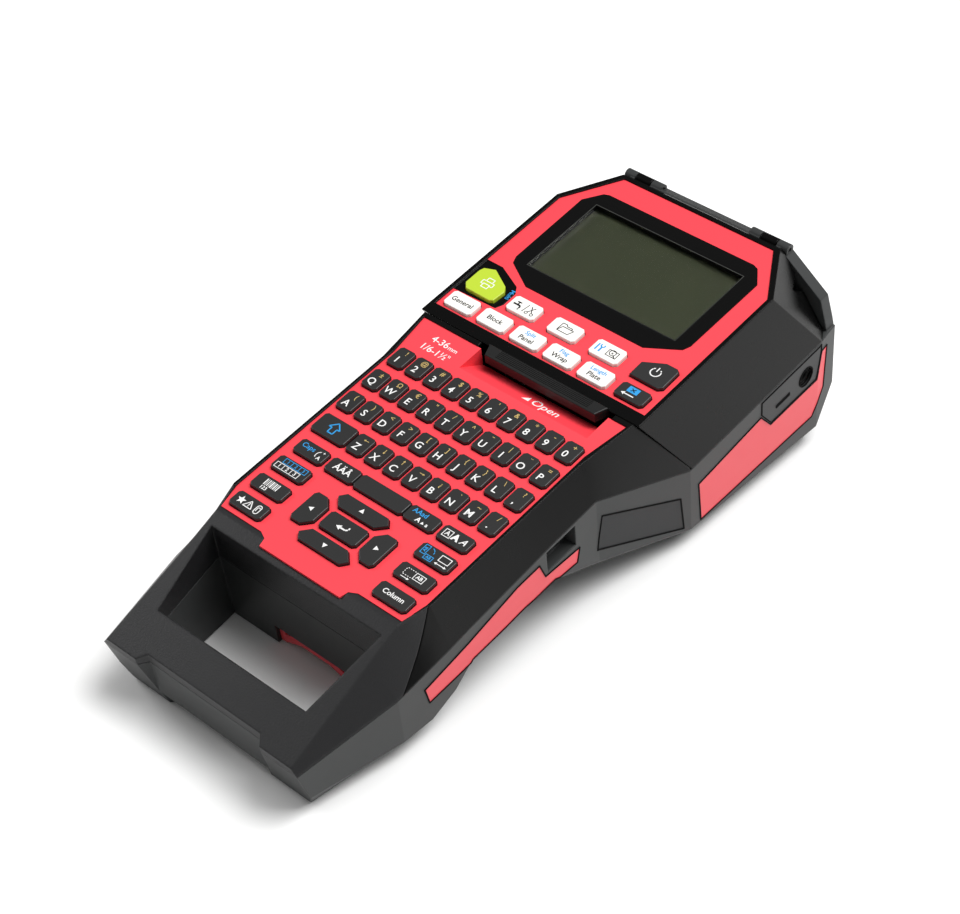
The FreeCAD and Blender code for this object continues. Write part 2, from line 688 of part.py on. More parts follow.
def skin_patch(outline, gap, depth, side):
    """Piece of the side skin inside an outline, drawn in by gap."""
    shell = lower_form(0.0).cut(lower_form(depth))
    patch = prism_x(grown(outline, -gap), 30.0, 90.0)
    if side < 0:
        patch = mirrored(patch)
    return shell.common(patch)


def side_patches(outline, gap, depth):
    right = skin_patch(outline, gap, depth, 1)
    return both_sides(right)


def battery_room():
    """Opening and space for the battery pack, from below."""
    return box(-BATTERY_HALF, BATTERY_HALF, BATTERY_NEAR, BATTERY_FAR, ARCH_Z - 20, BATTERY_TOP + 0.6)


TAPE_SLOT_Y = IDLER_Y + MODULE * (IDLER_TEETH + PLATEN_TEETH) / 2 * math.sin(math.radians(PLATEN_ANGLE)) \
    + ROLLER_R + TAPE_GAP / 2
TAPE_SLOT_HALF = 2.6
TAPE_TOP = -34.0
TAPE_BOTTOM = -70.0


def lower_housing():
    """Dark tub: handle underside, keyboard tub, arch, tape section."""
    tub = lower_form().cut(opening())
    tub = tub.cut([front_notch(), beyond((0, GRIP_FRONT, FRONT_SEAM_Z), (0, -1, -FOOT_LEAN))])
    bar_z = base_z(GRIP_FRONT) + 6.0
    under_bar = prism_z(closed_outline([(33.0, GRIP_FRONT - 1), (27.0, GRIP_FRONT + 7),
                                        (27.0, OPEN_NEAR + 1)]), -90, bar_z)
    under_neck = box(-BATTERY_HALF, BATTERY_HALF, OPEN_FAR - 4, ARCH_NEAR, -90, ARCH_Z)
    tub = tub.cut([under_bar, under_neck])
    cavity = handle_cavity(lower_form(WALL))
    cavity = cavity.cut(box(-36, 36, GRIP_FRONT, OPEN_NEAR + 5, -90, bar_z + WALL))
    cavity = cavity.cut(box(-BATTERY_HALF - WALL, BATTERY_HALF + WALL, OPEN_FAR - 4, ARCH_NEAR + 2,
                            -90, ARCH_Z + WALL))
    well = box(-BATTERY_HALF - 2, BATTERY_HALF + 2, BATTERY_NEAR - 2, BATTERY_FAR + 2, -90, BATTERY_TOP + 2.6)
    cavity = cavity.cut(well)
    usb_box = box(50.0, 70.0, USB_NEAR - 1.5, USB_FAR + 1.5, USB_BOTTOM - 1.5, -10.0)
    cavity = cavity.cut(usb_box)
    roof = max(s.seam_z for s in stations())
    cavity = fused([cavity] + [box(-KEY_HALF + WALL, KEY_HALF - WALL, OPEN_FAR + WALL + 0.5, NECK_FAR,
                                   roof - 6.0, roof + 5).cut([well, usb_box])])
    tub = tub.cut(cavity)
    tub = tub.cut(battery_room())
    usb_pocket = box(KEY_HALF - USB_DEPTH, 70.0, USB_NEAR, USB_FAR, USB_BOTTOM, USB_TOP)
    usb_hole = box(45.0, 70.0, USB_NEAR + 2.6, USB_FAR - 2.6, USB_BOTTOM + 1.3, USB_TOP - 1.0)
    tub = tub.cut([usb_pocket, usb_hole])
    tub = tub.cut([box(-80, BAY_LEFT, TAPE_SLOT_Y - TAPE_SLOT_HALF, TAPE_SLOT_Y + TAPE_SLOT_HALF,
                       TAPE_BOTTOM, TAPE_TOP)])
    tub = tub.cut(rod_x(50, 80, JACK_Y, JACK_Z, JACK_R))
    for outline in (FRONT_INLAY, REAR_INLAY, WAIST_GRIP):
        tub = tub.cut(side_patches(outline, 0.0, INLAY_T))
    tub = tub.cut(skin_patch(JACK_PLATE, 0.0, INLAY_T, 1))
    tub = fused([tub, back_wall()])
    lugs = [rod_x(a, b, HINGE_Y, HINGE_Z, KNUCKLE_R) for a, b in lug_spans()]
    posts = [rod(x, y, z0, PLATE_BOTTOM - 9.2, 3.0) for x, y, z0 in board_posts()]
    tub = fused([tub] + lugs + posts + screw_bosses())
    tub = tub.cut([rod_x(a - 0.1, b + 0.1, HINGE_Y, HINGE_Z, HINGE_PIN_R) for a, b in lug_spans()])
    tub = tub.cut(screw_holes() + foot_pockets())
    return tub


def back_wall():
    """Wall behind the cover, with its hinge seats."""
    right = [(BODY_HALF - 1.6, COVER_SEAM_Z - 4.0), (BODY_HALF - 3.2, COVER_SEAM_Z + 5.0),
             (BODY_HALF - 5.7, COVER_SEAM_Z + 16.0), (FACE_RIDGE_HALF - 18.0, BACK_TOP)]
    wall = prism_y(closed_outline(right), BACK_NEAR, HOUSING_FAR)
    wall = wall.cut(beyond((0, BACK_NEAR + 1.0, BACK_TOP), (0, 0.45, 0.9)))
    low_corner, top_corner = (BODY_HALF - 18.0, COVER_SEAM_Z - 5.0), (BODY_HALF - 22.0, HINGE_Z - 12.0)
    hollow = prism_y(closed_outline([low_corner, top_corner]),
                     BACK_NEAR - 1.0, HOUSING_FAR - WALL)
    rooms = [rod_x(a - 0.4, b + 0.4, HINGE_Y, HINGE_Z, KNUCKLE_R + 0.5) for a, b in knuckle_spans()]
    over = [box(a - 0.4, b + 0.4, BACK_NEAR - 1, HINGE_Y, HINGE_Z - KNUCKLE_R - 0.5, 5)
            for a, b in knuckle_spans()]
    return wall.cut([hollow] + rooms + over)


def board_posts():
    """Foot points of the posts under the main board."""
    on_well = BATTERY_TOP + 2.0
    floor = ARCH_Z + 1.0
    return [(x, y, on_well) for x in (-15, 15) for y in (BATTERY_NEAR + 6, BATTERY_FAR - 6)] + \
        [(x, ARCH_FAR - 8.0, floor) for x in (-42, 42)]


def main_circuit_board():
    top = PLATE_BOTTOM - 9.2 + BOARD_T
    return box(-45, 45, DECK_NEAR + 4, 14.0, top - BOARD_T, top)


def usb_socket():
    """Socket block under the main board, open to the side recess."""
    y0, y1 = USB_NEAR + 2.9, USB_FAR - 2.9
    block = box(41.0, 49.6, y0, y1, USB_BOTTOM + 1.6, PLATE_BOTTOM - 9.3)
    nose = box(49.0, KEY_HALF - USB_DEPTH - 0.4, y0, y1, USB_BOTTOM + 1.6, USB_TOP - 1.2)
    mouth = box(44.0, 60.0, y0 + 1.0, y1 - 1.0, USB_BOTTOM + 2.6, USB_TOP - 2.2)
    tongue = box(43.5, KEY_HALF - USB_DEPTH - 1.4, y0 + 3.0, y1 - 3.0, USB_BOTTOM + 4.6, USB_TOP - 4.0)
    return fused([fused([block, nose]).cut(mouth), tongue])


def jack_plate():
    plate = skin_patch(JACK_PLATE, SEAT, INLAY_T - 0.1, 1)
    plate = plate.cut(rod_x(40, 80, JACK_Y, JACK_Z, JACK_R))
    return plate.cut(box(50, 80, 107.0, 116.5, JACK_Z - 1.0, JACK_Z))


def dc_jack():
    inner = BODY_HALF - WALL - 0.6
    body = box(BAY_RIGHT + 2.0, inner, JACK_Y - 6, JACK_Y + 6, JACK_Z - 6, JACK_Z + 6)
    nose = rod_x(inner - 1, BODY_HALF - 1.8, JACK_Y, JACK_Z, JACK_R - 0.15)
    bore = rod_x(BAY_RIGHT + 5.0, 80, JACK_Y, JACK_Z, 2.9)
    pin = rod_x(BAY_RIGHT + 3.0, BODY_HALF - 3.0, JACK_Y, JACK_Z, 0.9)
    return fused([fused([body, nose]).cut(bore), pin])


SCREW_HEAD_R = 3.0
SCREW_SINK = 2.6
SCREW_LENGTH = 9.0


def screw_z(y):
    return base_z(y) + SCREW_SINK


def screw_places():
    """Screws come up through the heels and the base of the tape section."""
    heels = [(s * 34.0, DECK_NEAR - 2.5) for s in (-1, 1)]
    rear = [(s * (BODY_HALF - 13.0), y) for y in (SHOULDER + 9.0, FAR_CORNER - 14.0) for s in (-1, 1)]
    return heels + rear


def screw_bosses():
    return [rod(x, y, screw_z(y) - 1.0, screw_z(y) + SCREW_LENGTH + 1.5, SCREW_HEAD_R + 0.8)
            for x, y in screw_places()]


def housing_screws():
    screws = []
    for x, y in screw_places():
        z = screw_z(y)
        screw = fused([rod(x, y, z - 1.6, z, SCREW_HEAD_R - 0.2), rod(x, y, z - 0.5, z + SCREW_LENGTH, 1.5)])
        slot = [box(x - 2.0, x + 2.0, y - 0.35, y + 0.35, z - 3, z - 0.9),
                box(x - 0.35, x + 0.35, y - 2.0, y + 2.0, z - 3, z - 0.9)]
        screws.append(screw.cut(slot))
    return screws


def screw_holes():
    holes = []
    for x, y in screw_places():
        z = screw_z(y)
        holes += [rod(x, y, z - 12, z, SCREW_HEAD_R), rod(x, y, z - 1, z + SCREW_LENGTH + 0.3, 1.55)]
    return holes


FOOT_R = 5.5


def foot_places():
    front = [(s * (FRONT_HALF - 11.0), GRIP_FRONT + 12.6) for s in (-1, 1)]
    rear = [(s * (BODY_HALF - 25.0), y) for y in (SHOULDER + 19.0, FAR_CORNER - 10.0) for s in (-1, 1)]
    return front + rear


def foot_disc(x, y, radius, below, above):
    """Short disc square to the table."""
    tilt = math.radians(TILT)
    axis = V(0, math.sin(tilt), math.cos(tilt))
    origin = V(x, y, base_z(y)) - axis * below
    return Part.makeCylinder(radius, below + above, origin, axis)


def rubber_feet():
    rise = FOOT_RISE * math.cos(math.radians(TILT))
    return [foot_disc(x, y, FOOT_R - 0.1, rise, 0.9) for x, y in foot_places()]


def foot_pockets():
    return [foot_disc(x, y, FOOT_R, 5.0, 0.9) for x, y in foot_places()]


# ---- tape bay and print works --------------------------------------------
def gear(x, y, teeth, bore, phase):
    """Spur gear with straight-sided teeth that leave running backlash."""
    pitch_r = MODULE * teeth / 2
    root = pitch_r - 1.2 * MODULE
    tip = pitch_r + 0.85 * MODULE
    step = 2 * math.pi / teeth
    outline = []
    for k in range(teeth):
        middle = phase + k * step
        for radius, share in ((root, -0.31), (tip, -0.11), (tip, 0.11), (root, 0.31)):
            angle = middle + share * step
            outline.append((x + radius * math.cos(angle), y + radius * math.sin(angle)))
    blank = prism_z(outline, GEAR_TOP - GEAR_T, GEAR_TOP)
    return blank.cut(rod(x, y, GEAR_TOP - GEAR_T - 1, GEAR_TOP + 1, bore))


def partner(teeth, direction):
    """Centre of a gear that meshes with the idler, in a given direction."""
    distance = MODULE * (IDLER_TEETH + teeth) / 2
    angle = math.radians(direction)
    return IDLER_X + distance * math.cos(angle), IDLER_Y + distance * math.sin(angle)


def mesh_phase(teeth, direction):
    """Phase that puts a gap of this gear opposite an idler tooth."""
    angle = math.radians(direction)
    idler_step = 2 * math.pi / IDLER_TEETH
    offset = (angle / idler_step) % 1.0
    step = 2 * math.pi / teeth
    return angle + math.pi + step / 2 + offset * step


PLATEN_X, PLATEN_Y = partner(PLATEN_TEETH, PLATEN_ANGLE)
SPINDLE_X, SPINDLE_Y = partner(SPINDLE_TEETH, SPINDLE_ANGLE)
PINION_X, PINION_Y = partner(PINION_TEETH, PINION_ANGLE)
GEAR_PLATE_TOP = GEAR_TOP - GEAR_T - 0.4
GEAR_PLATE_T = 1.4


def idler_gear():
    return gear(IDLER_X, IDLER_Y, IDLER_TEETH, SHAFT_R + RUN, 0.0)


def platen_gear():
    return gear(PLATEN_X, PLATEN_Y, PLATEN_TEETH, SHAFT_R, mesh_phase(PLATEN_TEETH, PLATEN_ANGLE))


def platen_roller():
    shaft = rod(PLATEN_X, PLATEN_Y, GEAR_PLATE_TOP - GEAR_PLATE_T, HEAD_TOP - 0.4, SHAFT_R)
    return fused([shaft, rod(PLATEN_X, PLATEN_Y, TAPE_BOTTOM, TAPE_TOP, ROLLER_R)])


def ribbon_spindle():
    wheel = gear(SPINDLE_X, SPINDLE_Y, SPINDLE_TEETH, 0.5, mesh_phase(SPINDLE_TEETH, SPINDLE_ANGLE))
    shaft = rod(SPINDLE_X, SPINDLE_Y, GEAR_PLATE_TOP - GEAR_PLATE_T, TAPE_TOP - 6.0, SHAFT_R)
    hub = rod(SPINDLE_X, SPINDLE_Y, BAY_FLOOR + 1.0, TAPE_TOP - 9.0, 3.0)
    fins = []
    for k in range(3):
        fin = box(SPINDLE_X, SPINDLE_X + 4.2, SPINDLE_Y - 0.6, SPINDLE_Y + 0.6, BAY_FLOOR + 1.0,
                  TAPE_TOP - 10.0)
        fin.rotate(V(SPINDLE_X, SPINDLE_Y, 0), V(0, 0, 1), 120 * k)
        fins.append(fin)
    return fused([wheel, shaft, hub] + fins)


def motor_pinion():
    wheel = gear(PINION_X, PINION_Y, PINION_TEETH, 0.8, mesh_phase(PINION_TEETH, PINION_ANGLE))
    return fused([wheel, rod(PINION_X, PINION_Y, GEAR_TOP - GEAR_T, GEAR_TOP + 4.0, 1.0)])


def drive_motor():
    can = rod(PINION_X, PINION_Y, BAY_FLOOR + 0.4, BAY_FLOOR + 24.0, MOTOR_R)
    cap = rod(PINION_X, PINION_Y, BAY_FLOOR + 23.0, BAY_FLOOR + 26.0, 3.0)
    bore = rod(PINION_X, PINION_Y, BAY_FLOOR - 2, BAY_FLOOR + 10.0, 1.0 + RUN)
    return fused([can, cap]).cut(bore)


def gear_plate():
    """Steel plate under the gears, with the idler's pin."""
    bottom = GEAR_PLATE_TOP - GEAR_PLATE_T
    far = SPINDLE_Y + 12
    outline = [(PINION_X - 8, PINION_Y - 6), (SPINDLE_X + 12, PINION_Y - 6), (SPINDLE_X + 12, far),
               (PLATEN_X - 8, far), (PLATEN_X - 8, BAY_NEAR), (PINION_X - 8, BAY_NEAR)]
    plate = prism_z(outline, bottom, GEAR_PLATE_TOP)
    plate = plate.cut([rod(x, y, bottom - 1, GEAR_PLATE_TOP + 1, SHAFT_R + RUN)
                       for x, y in ((PLATEN_X, PLATEN_Y), (SPINDLE_X, SPINDLE_Y))])
    pin = rod(IDLER_X, IDLER_Y, bottom, BAY_FLOOR - BAY_T - SEAT, SHAFT_R)
    corners = [(PLATEN_X - 5, BAY_NEAR + 3), (SPINDLE_X + 9.5, PINION_Y - 3), (SPINDLE_X + 9.5, far - 2.5),
               (PLATEN_X - 5, far - 2.5)]
    stays = [rod(x, y, bottom, BAY_FLOOR - BAY_T - SEAT, 1.8) for x, y in corners]
    return fused([plate, pin] + stays)


HEAD_TOP = TAPE_TOP + 5.0


def print_head():
    """Print head block with the bracket that carries the roller's top end."""
    face = PLATEN_Y + ROLLER_R + TAPE_GAP
    block = box(PLATEN_X - 4.0, PLATEN_X + 4.0, face + 1.2, face + 5.0, BAY_FLOOR + 0.1, HEAD_TOP)
    strip = box(PLATEN_X - 1.6, PLATEN_X + 1.6, face, face + 1.4, TAPE_BOTTOM, TAPE_TOP)
    arm = box(PLATEN_X - 4.0, PLATEN_X + 4.0, PLATEN_Y - 4.0, face + 5.0, HEAD_TOP - 2.0, HEAD_TOP)
    arm = arm.cut(rod(PLATEN_X, PLATEN_Y, HEAD_TOP - 3, HEAD_TOP + 1, SHAFT_R + RUN))
    return fused([block, strip, arm])


BLADE_X = -58.6
BLADE_T = 0.8


def cutter_blade():
    """Upright blade on a foot that slides along the bay floor."""
    edge = TAPE_SLOT_Y - 1.4
    blade = prism_z([(BLADE_X, edge), (BLADE_X + BLADE_T, edge - 0.8), (BLADE_X + BLADE_T, edge - 12),
                     (BLADE_X, edge - 12)], BAY_FLOOR + 0.3, TAPE_TOP + 1)
    foot = box(BLADE_X - 0.4, BLADE_X + 3.0, edge - 15, edge - 7, BAY_FLOOR + 0.3, TAPE_BOTTOM - 0.4)
    return fused([blade, foot])


def tape_bay_frame():
    """Moulded bay with a floor, walls, the fixed cutter edge and stand-offs."""
    bay = box(BAY_LEFT, BAY_RIGHT, BAY_NEAR, BAY_FAR, BAY_FLOOR - BAY_T, BAY_TOP)
    bay = bay.cut(box(BAY_LEFT + BAY_T, BAY_RIGHT - BAY_T, BAY_NEAR + BAY_T, BAY_FAR - BAY_T, BAY_FLOOR, 0))
    shelf = box(PINION_X - 10, SPINDLE_X + 12, PINION_Y - 10.0, BAY_NEAR + 1, BAY_FLOOR - BAY_T, BAY_FLOOR)
    bay = fused([bay, shelf])
    bay = bay.cut(box(BAY_LEFT - 1, BAY_LEFT + BAY_T + 1, TAPE_SLOT_Y - TAPE_SLOT_HALF,
                      TAPE_SLOT_Y + TAPE_SLOT_HALF, TAPE_BOTTOM, 0))
    holes = [rod(PLATEN_X, PLATEN_Y, -90, BAY_FLOOR + 1, SHAFT_R + 0.4),
             rod(SPINDLE_X, SPINDLE_Y, -90, BAY_FLOOR + 1, SHAFT_R + 0.4),
             rod(PINION_X, PINION_Y, -90, BAY_FLOOR + 1, 1.6)]
    bay = bay.cut(holes)
    anvil = box(BLADE_X + BLADE_T + 0.3, BLADE_X + BLADE_T + 1.3, TAPE_SLOT_Y + 1.2, TAPE_SLOT_Y + 6,
                BAY_FLOOR - 1, TAPE_TOP + 1)
    return fused([bay, anvil])


def bay_posts():
    """Posts between the housing floor and the tape bay."""
    places = [(BAY_RIGHT - 6, BAY_NEAR + 6), (BAY_RIGHT - 6, BAY_FAR - 6), (BAY_LEFT + 6, BAY_FAR - 6),
              (0, BAY_FAR - 6)]
    return [rod(x, y, base_z(y) + 1.6, BAY_FLOOR - BAY_T - SEAT, 3.0) for x, y in places]


def cassette_case():
    """Tape cassette: hollow case with a drive bore and two finger tabs."""
    floor = BAY_FLOOR + 0.4
    left = PLATEN_X + ROLLER_R + 2.0
    outline = [(left, SPINDLE_Y - 9), (-2.0, SPINDLE_Y - 9), (6.0, BAY_NEAR + 4),
               (CASSETTE_RIGHT, BAY_NEAR + 4),
               (CASSETTE_RIGHT, CASSETTE_FAR), (left, CASSETTE_FAR)]
    case = prism_z(outline, floor, CASSETTE_TOP)
    roll_x, roll_y = roll_centre()
    room = rod(roll_x, roll_y, floor + 1.6, CASSETTE_TOP - 1.6, ROLL_R + 0.8)
    channel = box(left + 2, roll_x, CASSETTE_FAR - 8, CASSETTE_FAR - 4, floor + 1.6, CASSETTE_TOP - 1.6)
    case = case.cut([room, channel])
    case = case.cut(rod(SPINDLE_X, SPINDLE_Y, floor - 1, TAPE_TOP - 4.0, SPOOL_BORE_R))
    case = case.cut(rod(roll_x, roll_y, CASSETTE_TOP - 2.5, CASSETTE_TOP + 1, 9.0))
    tabs = [box(x - 1.2, x + 1.2, roll_y - 9, roll_y + 9, CASSETTE_TOP - 1, CASSETTE_TOP + 5)
            for x in (left + 3, CASSETTE_RIGHT - 3)]
    return fused([case] + tabs)


def roll_centre():
    return CASSETTE_RIGHT - ROLL_R - 4.0, BAY_NEAR + ROLL_R + 12.0


def tape_roll():
    """Roll of label tape on its core."""
    x, y = roll_centre()
    floor = BAY_FLOOR + 0.4
    roll = rod(x, y, floor + 2.0, CASSETTE_TOP - 2.0, ROLL_R)
    return roll.cut(rod(x, y, floor, CASSETTE_TOP, 6.0))


# ---- battery ----------------------------------------------------------------
PACK_GAP = 0.4


def battery_pack():
    pack = box(-BATTERY_HALF + PACK_GAP, BATTERY_HALF - PACK_GAP, BATTERY_NEAR + PACK_GAP,
               BATTERY_FAR - PACK_GAP,
               ARCH_Z + BATTERY_PLATE_T, BATTERY_TOP)
    groove = box(-3, 3, BATTERY_FAR - 3, BATTERY_FAR, BATTERY_TOP - 12, BATTERY_TOP + 1)
    return pack.cut(groove)


def battery_cover():
    plate = box(-BATTERY_HALF + PACK_GAP, BATTERY_HALF - PACK_GAP, BATTERY_NEAR + PACK_GAP,
                BATTERY_FAR - PACK_GAP, ARCH_Z, ARCH_Z + BATTERY_PLATE_T)
    grips = [box(-12, 12, BATTERY_NEAR + 8 + 3 * k, BATTERY_NEAR + 9.4 + 3 * k, ARCH_Z - 1, ARCH_Z + 0.8)
             for k in range(4)]
    return plate.cut(grips)


def battery_contacts():
    """Spring fingers on the far wall of the battery well."""
    pieces = []
    for x in (-1.6, 1.6):
        pieces.append(box(x - 0.6, x + 0.6, BATTERY_FAR - 2.4, BATTERY_FAR, BATTERY_TOP - 8, BATTERY_TOP - 3))
    return pieces


LATCH_Y = OPEN_FAR + 3.2
LATCH_Z = ARCH_Z - 3.6
LATCH_DROP = 6.4
LATCH_PIN_R = 1.0


def battery_latch():
    """Red bail that hangs in front of the battery cover, on two stub pins."""
    half = BATTERY_HALF - 0.4
    low = LATCH_Z - LATCH_DROP
    arm = [(LATCH_Y - 1.6, LATCH_Z + 2.2), (LATCH_Y + 1.6, LATCH_Z + 2.2), (LATCH_Y + 1.6, low),
           (LATCH_Y - 1.6, low)]
    arms = [prism_x(arm, half - 3.2, half), prism_x(arm, -half, -half + 3.2)]
    bow = [(half - 2, LATCH_Z - 1.5), (half - 2, low), (8, LATCH_Z - 2.2), (-8, LATCH_Z - 2.2),
           (-half + 2, low), (-half + 2, LATCH_Z - 1.5), (-8, LATCH_Z + 1.8), (8, LATCH_Z + 1.8)]
    bar = prism_y(bow, LATCH_Y - 1.6, LATCH_Y + 1.6)
    return fused(arms + [bar]).cut(rod_x(-40, 40, LATCH_Y, LATCH_Z, LATCH_PIN_R + RUN))


def latch_pins():
    """Stub pins on the inner faces of the heels."""
    return both_sides(rod_x(BATTERY_HALF - 3.0, BATTERY_HALF + 1.0, LATCH_Y, LATCH_Z, LATCH_PIN_R))


def waist_grips():
    return side_patches(WAIST_GRIP, SEAT, INLAY_T)


def front_inlays():
    return side_patches(FRONT_INLAY, 0.0, INLAY_T - 0.1)


def rear_inlays():
    return side_patches(REAR_INLAY, 0.0, INLAY_T - 0.1)


def build():
    os.makedirs("parts", exist_ok=True)
    housing = fused([lower_housing()] + bay_posts() + latch_pins())
    nodes = {
        "lower_housing": housing,
        "handle_shell": handle_shell(),
        "keyboard_frame": keyboard_frame(),
        "deck_panel": deck_panel(),
        "key_mat": key_mat(),
        "key_circuit_board": key_circuit_board(),
        "main_circuit_board": main_circuit_board(),
        "front_side_inlays": front_inlays(),
        "rear_side_inlays": rear_inlays(),
        "waist_grips": waist_grips(),
        "rubber_feet": rubber_feet(),
        "housing_screws": housing_screws(),
        "usb_socket": usb_socket(),
        "dc_jack": dc_jack(),
        "dc_jack_plate": jack_plate(),
        "tape_bay_frame": tape_bay_frame(),
        "gear_plate": gear_plate(),
        "drive_motor": drive_motor(),
        "print_head": print_head(),
        "hinge_pins": hinge_pins(),
        "battery_contacts": battery_contacts(),
        "cover_shell": cover_shell(),
        "cover_face": cover_face(),
        "lcd_bezel": lcd_bezel(),
        "lcd_window": lcd_window(),
        "lcd_panel": lcd_panel(),
        "cover_circuit_board": cover_circuit_board(),
        "cover_liner": cover_liner(),
        "lift_lip": lift_lip(),
        "cassette_case": cassette_case(),
        "tape_roll": tape_roll(),
        "platen_roller": platen_roller(),
        "platen_gear": platen_gear(),
        "idler_gear": idler_gear(),
        "ribbon_spindle": ribbon_spindle(),
        "motor_pinion": motor_pinion(),
        "cutter_blade": cutter_blade(),
        "battery_pack": battery_pack(),
        "battery_cover": battery_cover(),
        "battery_latch": battery_latch(),
    }
    for name, outlines in list(deck_keys().items()) + list(cover_keys().items()):
        nodes[name] = caps(outlines)
    pieces = {name: leaned(shapes) for name, shapes in nodes.items()}
    near = min(piece.BoundBox.YMin for piece in pieces.values())
    far = max(piece.BoundBox.YMax for piece in pieces.values())
    for name, piece in pieces.items():
        piece.translate(V(0, -(near + far) / 2, 0))
        piece.exportStep("parts/" + name + ".step")


build()
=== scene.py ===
"""Looks of the handheld label maker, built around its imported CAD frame."""
import logging
import math
from dataclasses import dataclass, field
from enum import Enum
from typing import Iterable, Optional, Sequence

import bmesh
import bpy
from mathutils import Matrix, Vector


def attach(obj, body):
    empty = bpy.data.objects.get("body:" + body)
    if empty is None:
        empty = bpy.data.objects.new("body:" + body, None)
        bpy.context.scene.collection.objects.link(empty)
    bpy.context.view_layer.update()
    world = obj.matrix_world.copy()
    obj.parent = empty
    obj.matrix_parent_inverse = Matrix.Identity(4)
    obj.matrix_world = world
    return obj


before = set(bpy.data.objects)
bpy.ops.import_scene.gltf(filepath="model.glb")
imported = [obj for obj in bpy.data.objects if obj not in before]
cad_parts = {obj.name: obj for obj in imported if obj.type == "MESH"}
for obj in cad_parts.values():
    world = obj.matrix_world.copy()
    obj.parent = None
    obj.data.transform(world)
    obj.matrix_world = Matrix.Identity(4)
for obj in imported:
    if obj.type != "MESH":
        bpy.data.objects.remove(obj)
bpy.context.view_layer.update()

logging.basicConfig(level=logging.INFO, format="%(message)s")
LOG = logging.getLogger("label_maker")

Point = tuple[float, float]
Place = tuple[float, float, float]
Colour = tuple[float, float, float]
MM = 0.001


# ---- frame of the leaning face ----------------------------------------------
@dataclass(frozen=True)
class FaceFrame:
    """Frame of the machine's face in mm: X across, Y away from the handle, Z out of the face."""

    lean_degrees: float = 9.0
    origin_y: float = -0.0505
    origin_z: float = 75.172

    def matrix(self) -> Matrix:
        """Places the face in the row frame.

        Returns: the transform from face millimetres to metres.
        """
        place = Matrix.Translation((0.0, self.origin_y * MM, self.origin_z * MM))
        return place @ Matrix.Rotation(math.radians(self.lean_degrees), 4, "X") @ Matrix.Scale(MM, 4)


FACE = FaceFrame()


# ---- finishes -----------------------------------------------------------------
class Grain(Enum):
    """Relief of a moulded or machined surface."""

    NONE = "none"
    SATIN = "satin"
    LEATHERY = "leathery"
    BRUSHED = "brushed"


GRAIN_SIZES: dict[Grain, tuple[float, float]] = {
    Grain.SATIN: (3200.0, 0.03),
    Grain.LEATHERY: (1300.0, 0.75),
    Grain.BRUSHED: (900.0, 0.08),
}
RELIEF_HEIGHT = 0.12 * MM
UNEVEN_SCALE = 60.0
NOISE_MIDDLE = 0.5


def grain_group() -> bpy.types.NodeTree:
    """Builds the shared node group of mould grain once.

    Returns: the group, from the grain's sizes and the edge normal to a normal and a roughness.
    """
    found = bpy.data.node_groups.get("mould_grain")
    if found:
        return found
    group = bpy.data.node_groups.new("mould_grain", "ShaderNodeTree")
    for label, default in (("Scale", 2000.0), ("Depth", 0.1), ("Roughness", 0.4), ("Unevenness", 0.04)):
        socket = group.interface.new_socket(label, in_out="INPUT", socket_type="NodeSocketFloat")
        socket.default_value = default
    group.interface.new_socket("Edge Normal", in_out="INPUT", socket_type="NodeSocketVector")
    group.interface.new_socket("Normal", in_out="OUTPUT", socket_type="NodeSocketVector")
    group.interface.new_socket("Roughness", in_out="OUTPUT", socket_type="NodeSocketFloat")
    nodes, links = group.nodes, group.links
    inputs = nodes.new("NodeGroupInput")
    outputs = nodes.new("NodeGroupOutput")
    place = nodes.new("ShaderNodeTexCoord")
    fine = nodes.new("ShaderNodeTexNoise")
    fine.inputs["Detail"].default_value = 3.0
    fine.inputs["Roughness"].default_value = 0.6
    bump = nodes.new("ShaderNodeBump")
    bump.inputs["Distance"].default_value = RELIEF_HEIGHT
    broad = nodes.new("ShaderNodeTexNoise")
    broad.inputs["Scale"].default_value = UNEVEN_SCALE
    spread = nodes.new("ShaderNodeMath")
    spread.operation = "MULTIPLY_ADD"
    centre = nodes.new("ShaderNodeMath")
    centre.operation = "SUBTRACT"
    centre.inputs[1].default_value = NOISE_MIDDLE
    links.new(place.outputs["Object"], fine.inputs["Vector"])
    links.new(place.outputs["Object"], broad.inputs["Vector"])
    links.new(inputs.outputs["Scale"], fine.inputs["Scale"])
    links.new(fine.outputs["Fac"], bump.inputs["Height"])
    links.new(inputs.outputs["Depth"], bump.inputs["Strength"])
    links.new(inputs.outputs["Edge Normal"], bump.inputs["Normal"])
    links.new(bump.outputs["Normal"], outputs.inputs["Normal"])
    links.new(broad.outputs["Fac"], centre.inputs[0])
    links.new(centre.outputs[0], spread.inputs[0])
    links.new(inputs.outputs["Unevenness"], spread.inputs[1])
    links.new(inputs.outputs["Roughness"], spread.inputs[2])
    links.new(spread.outputs[0], outputs.inputs["Roughness"])
    return group


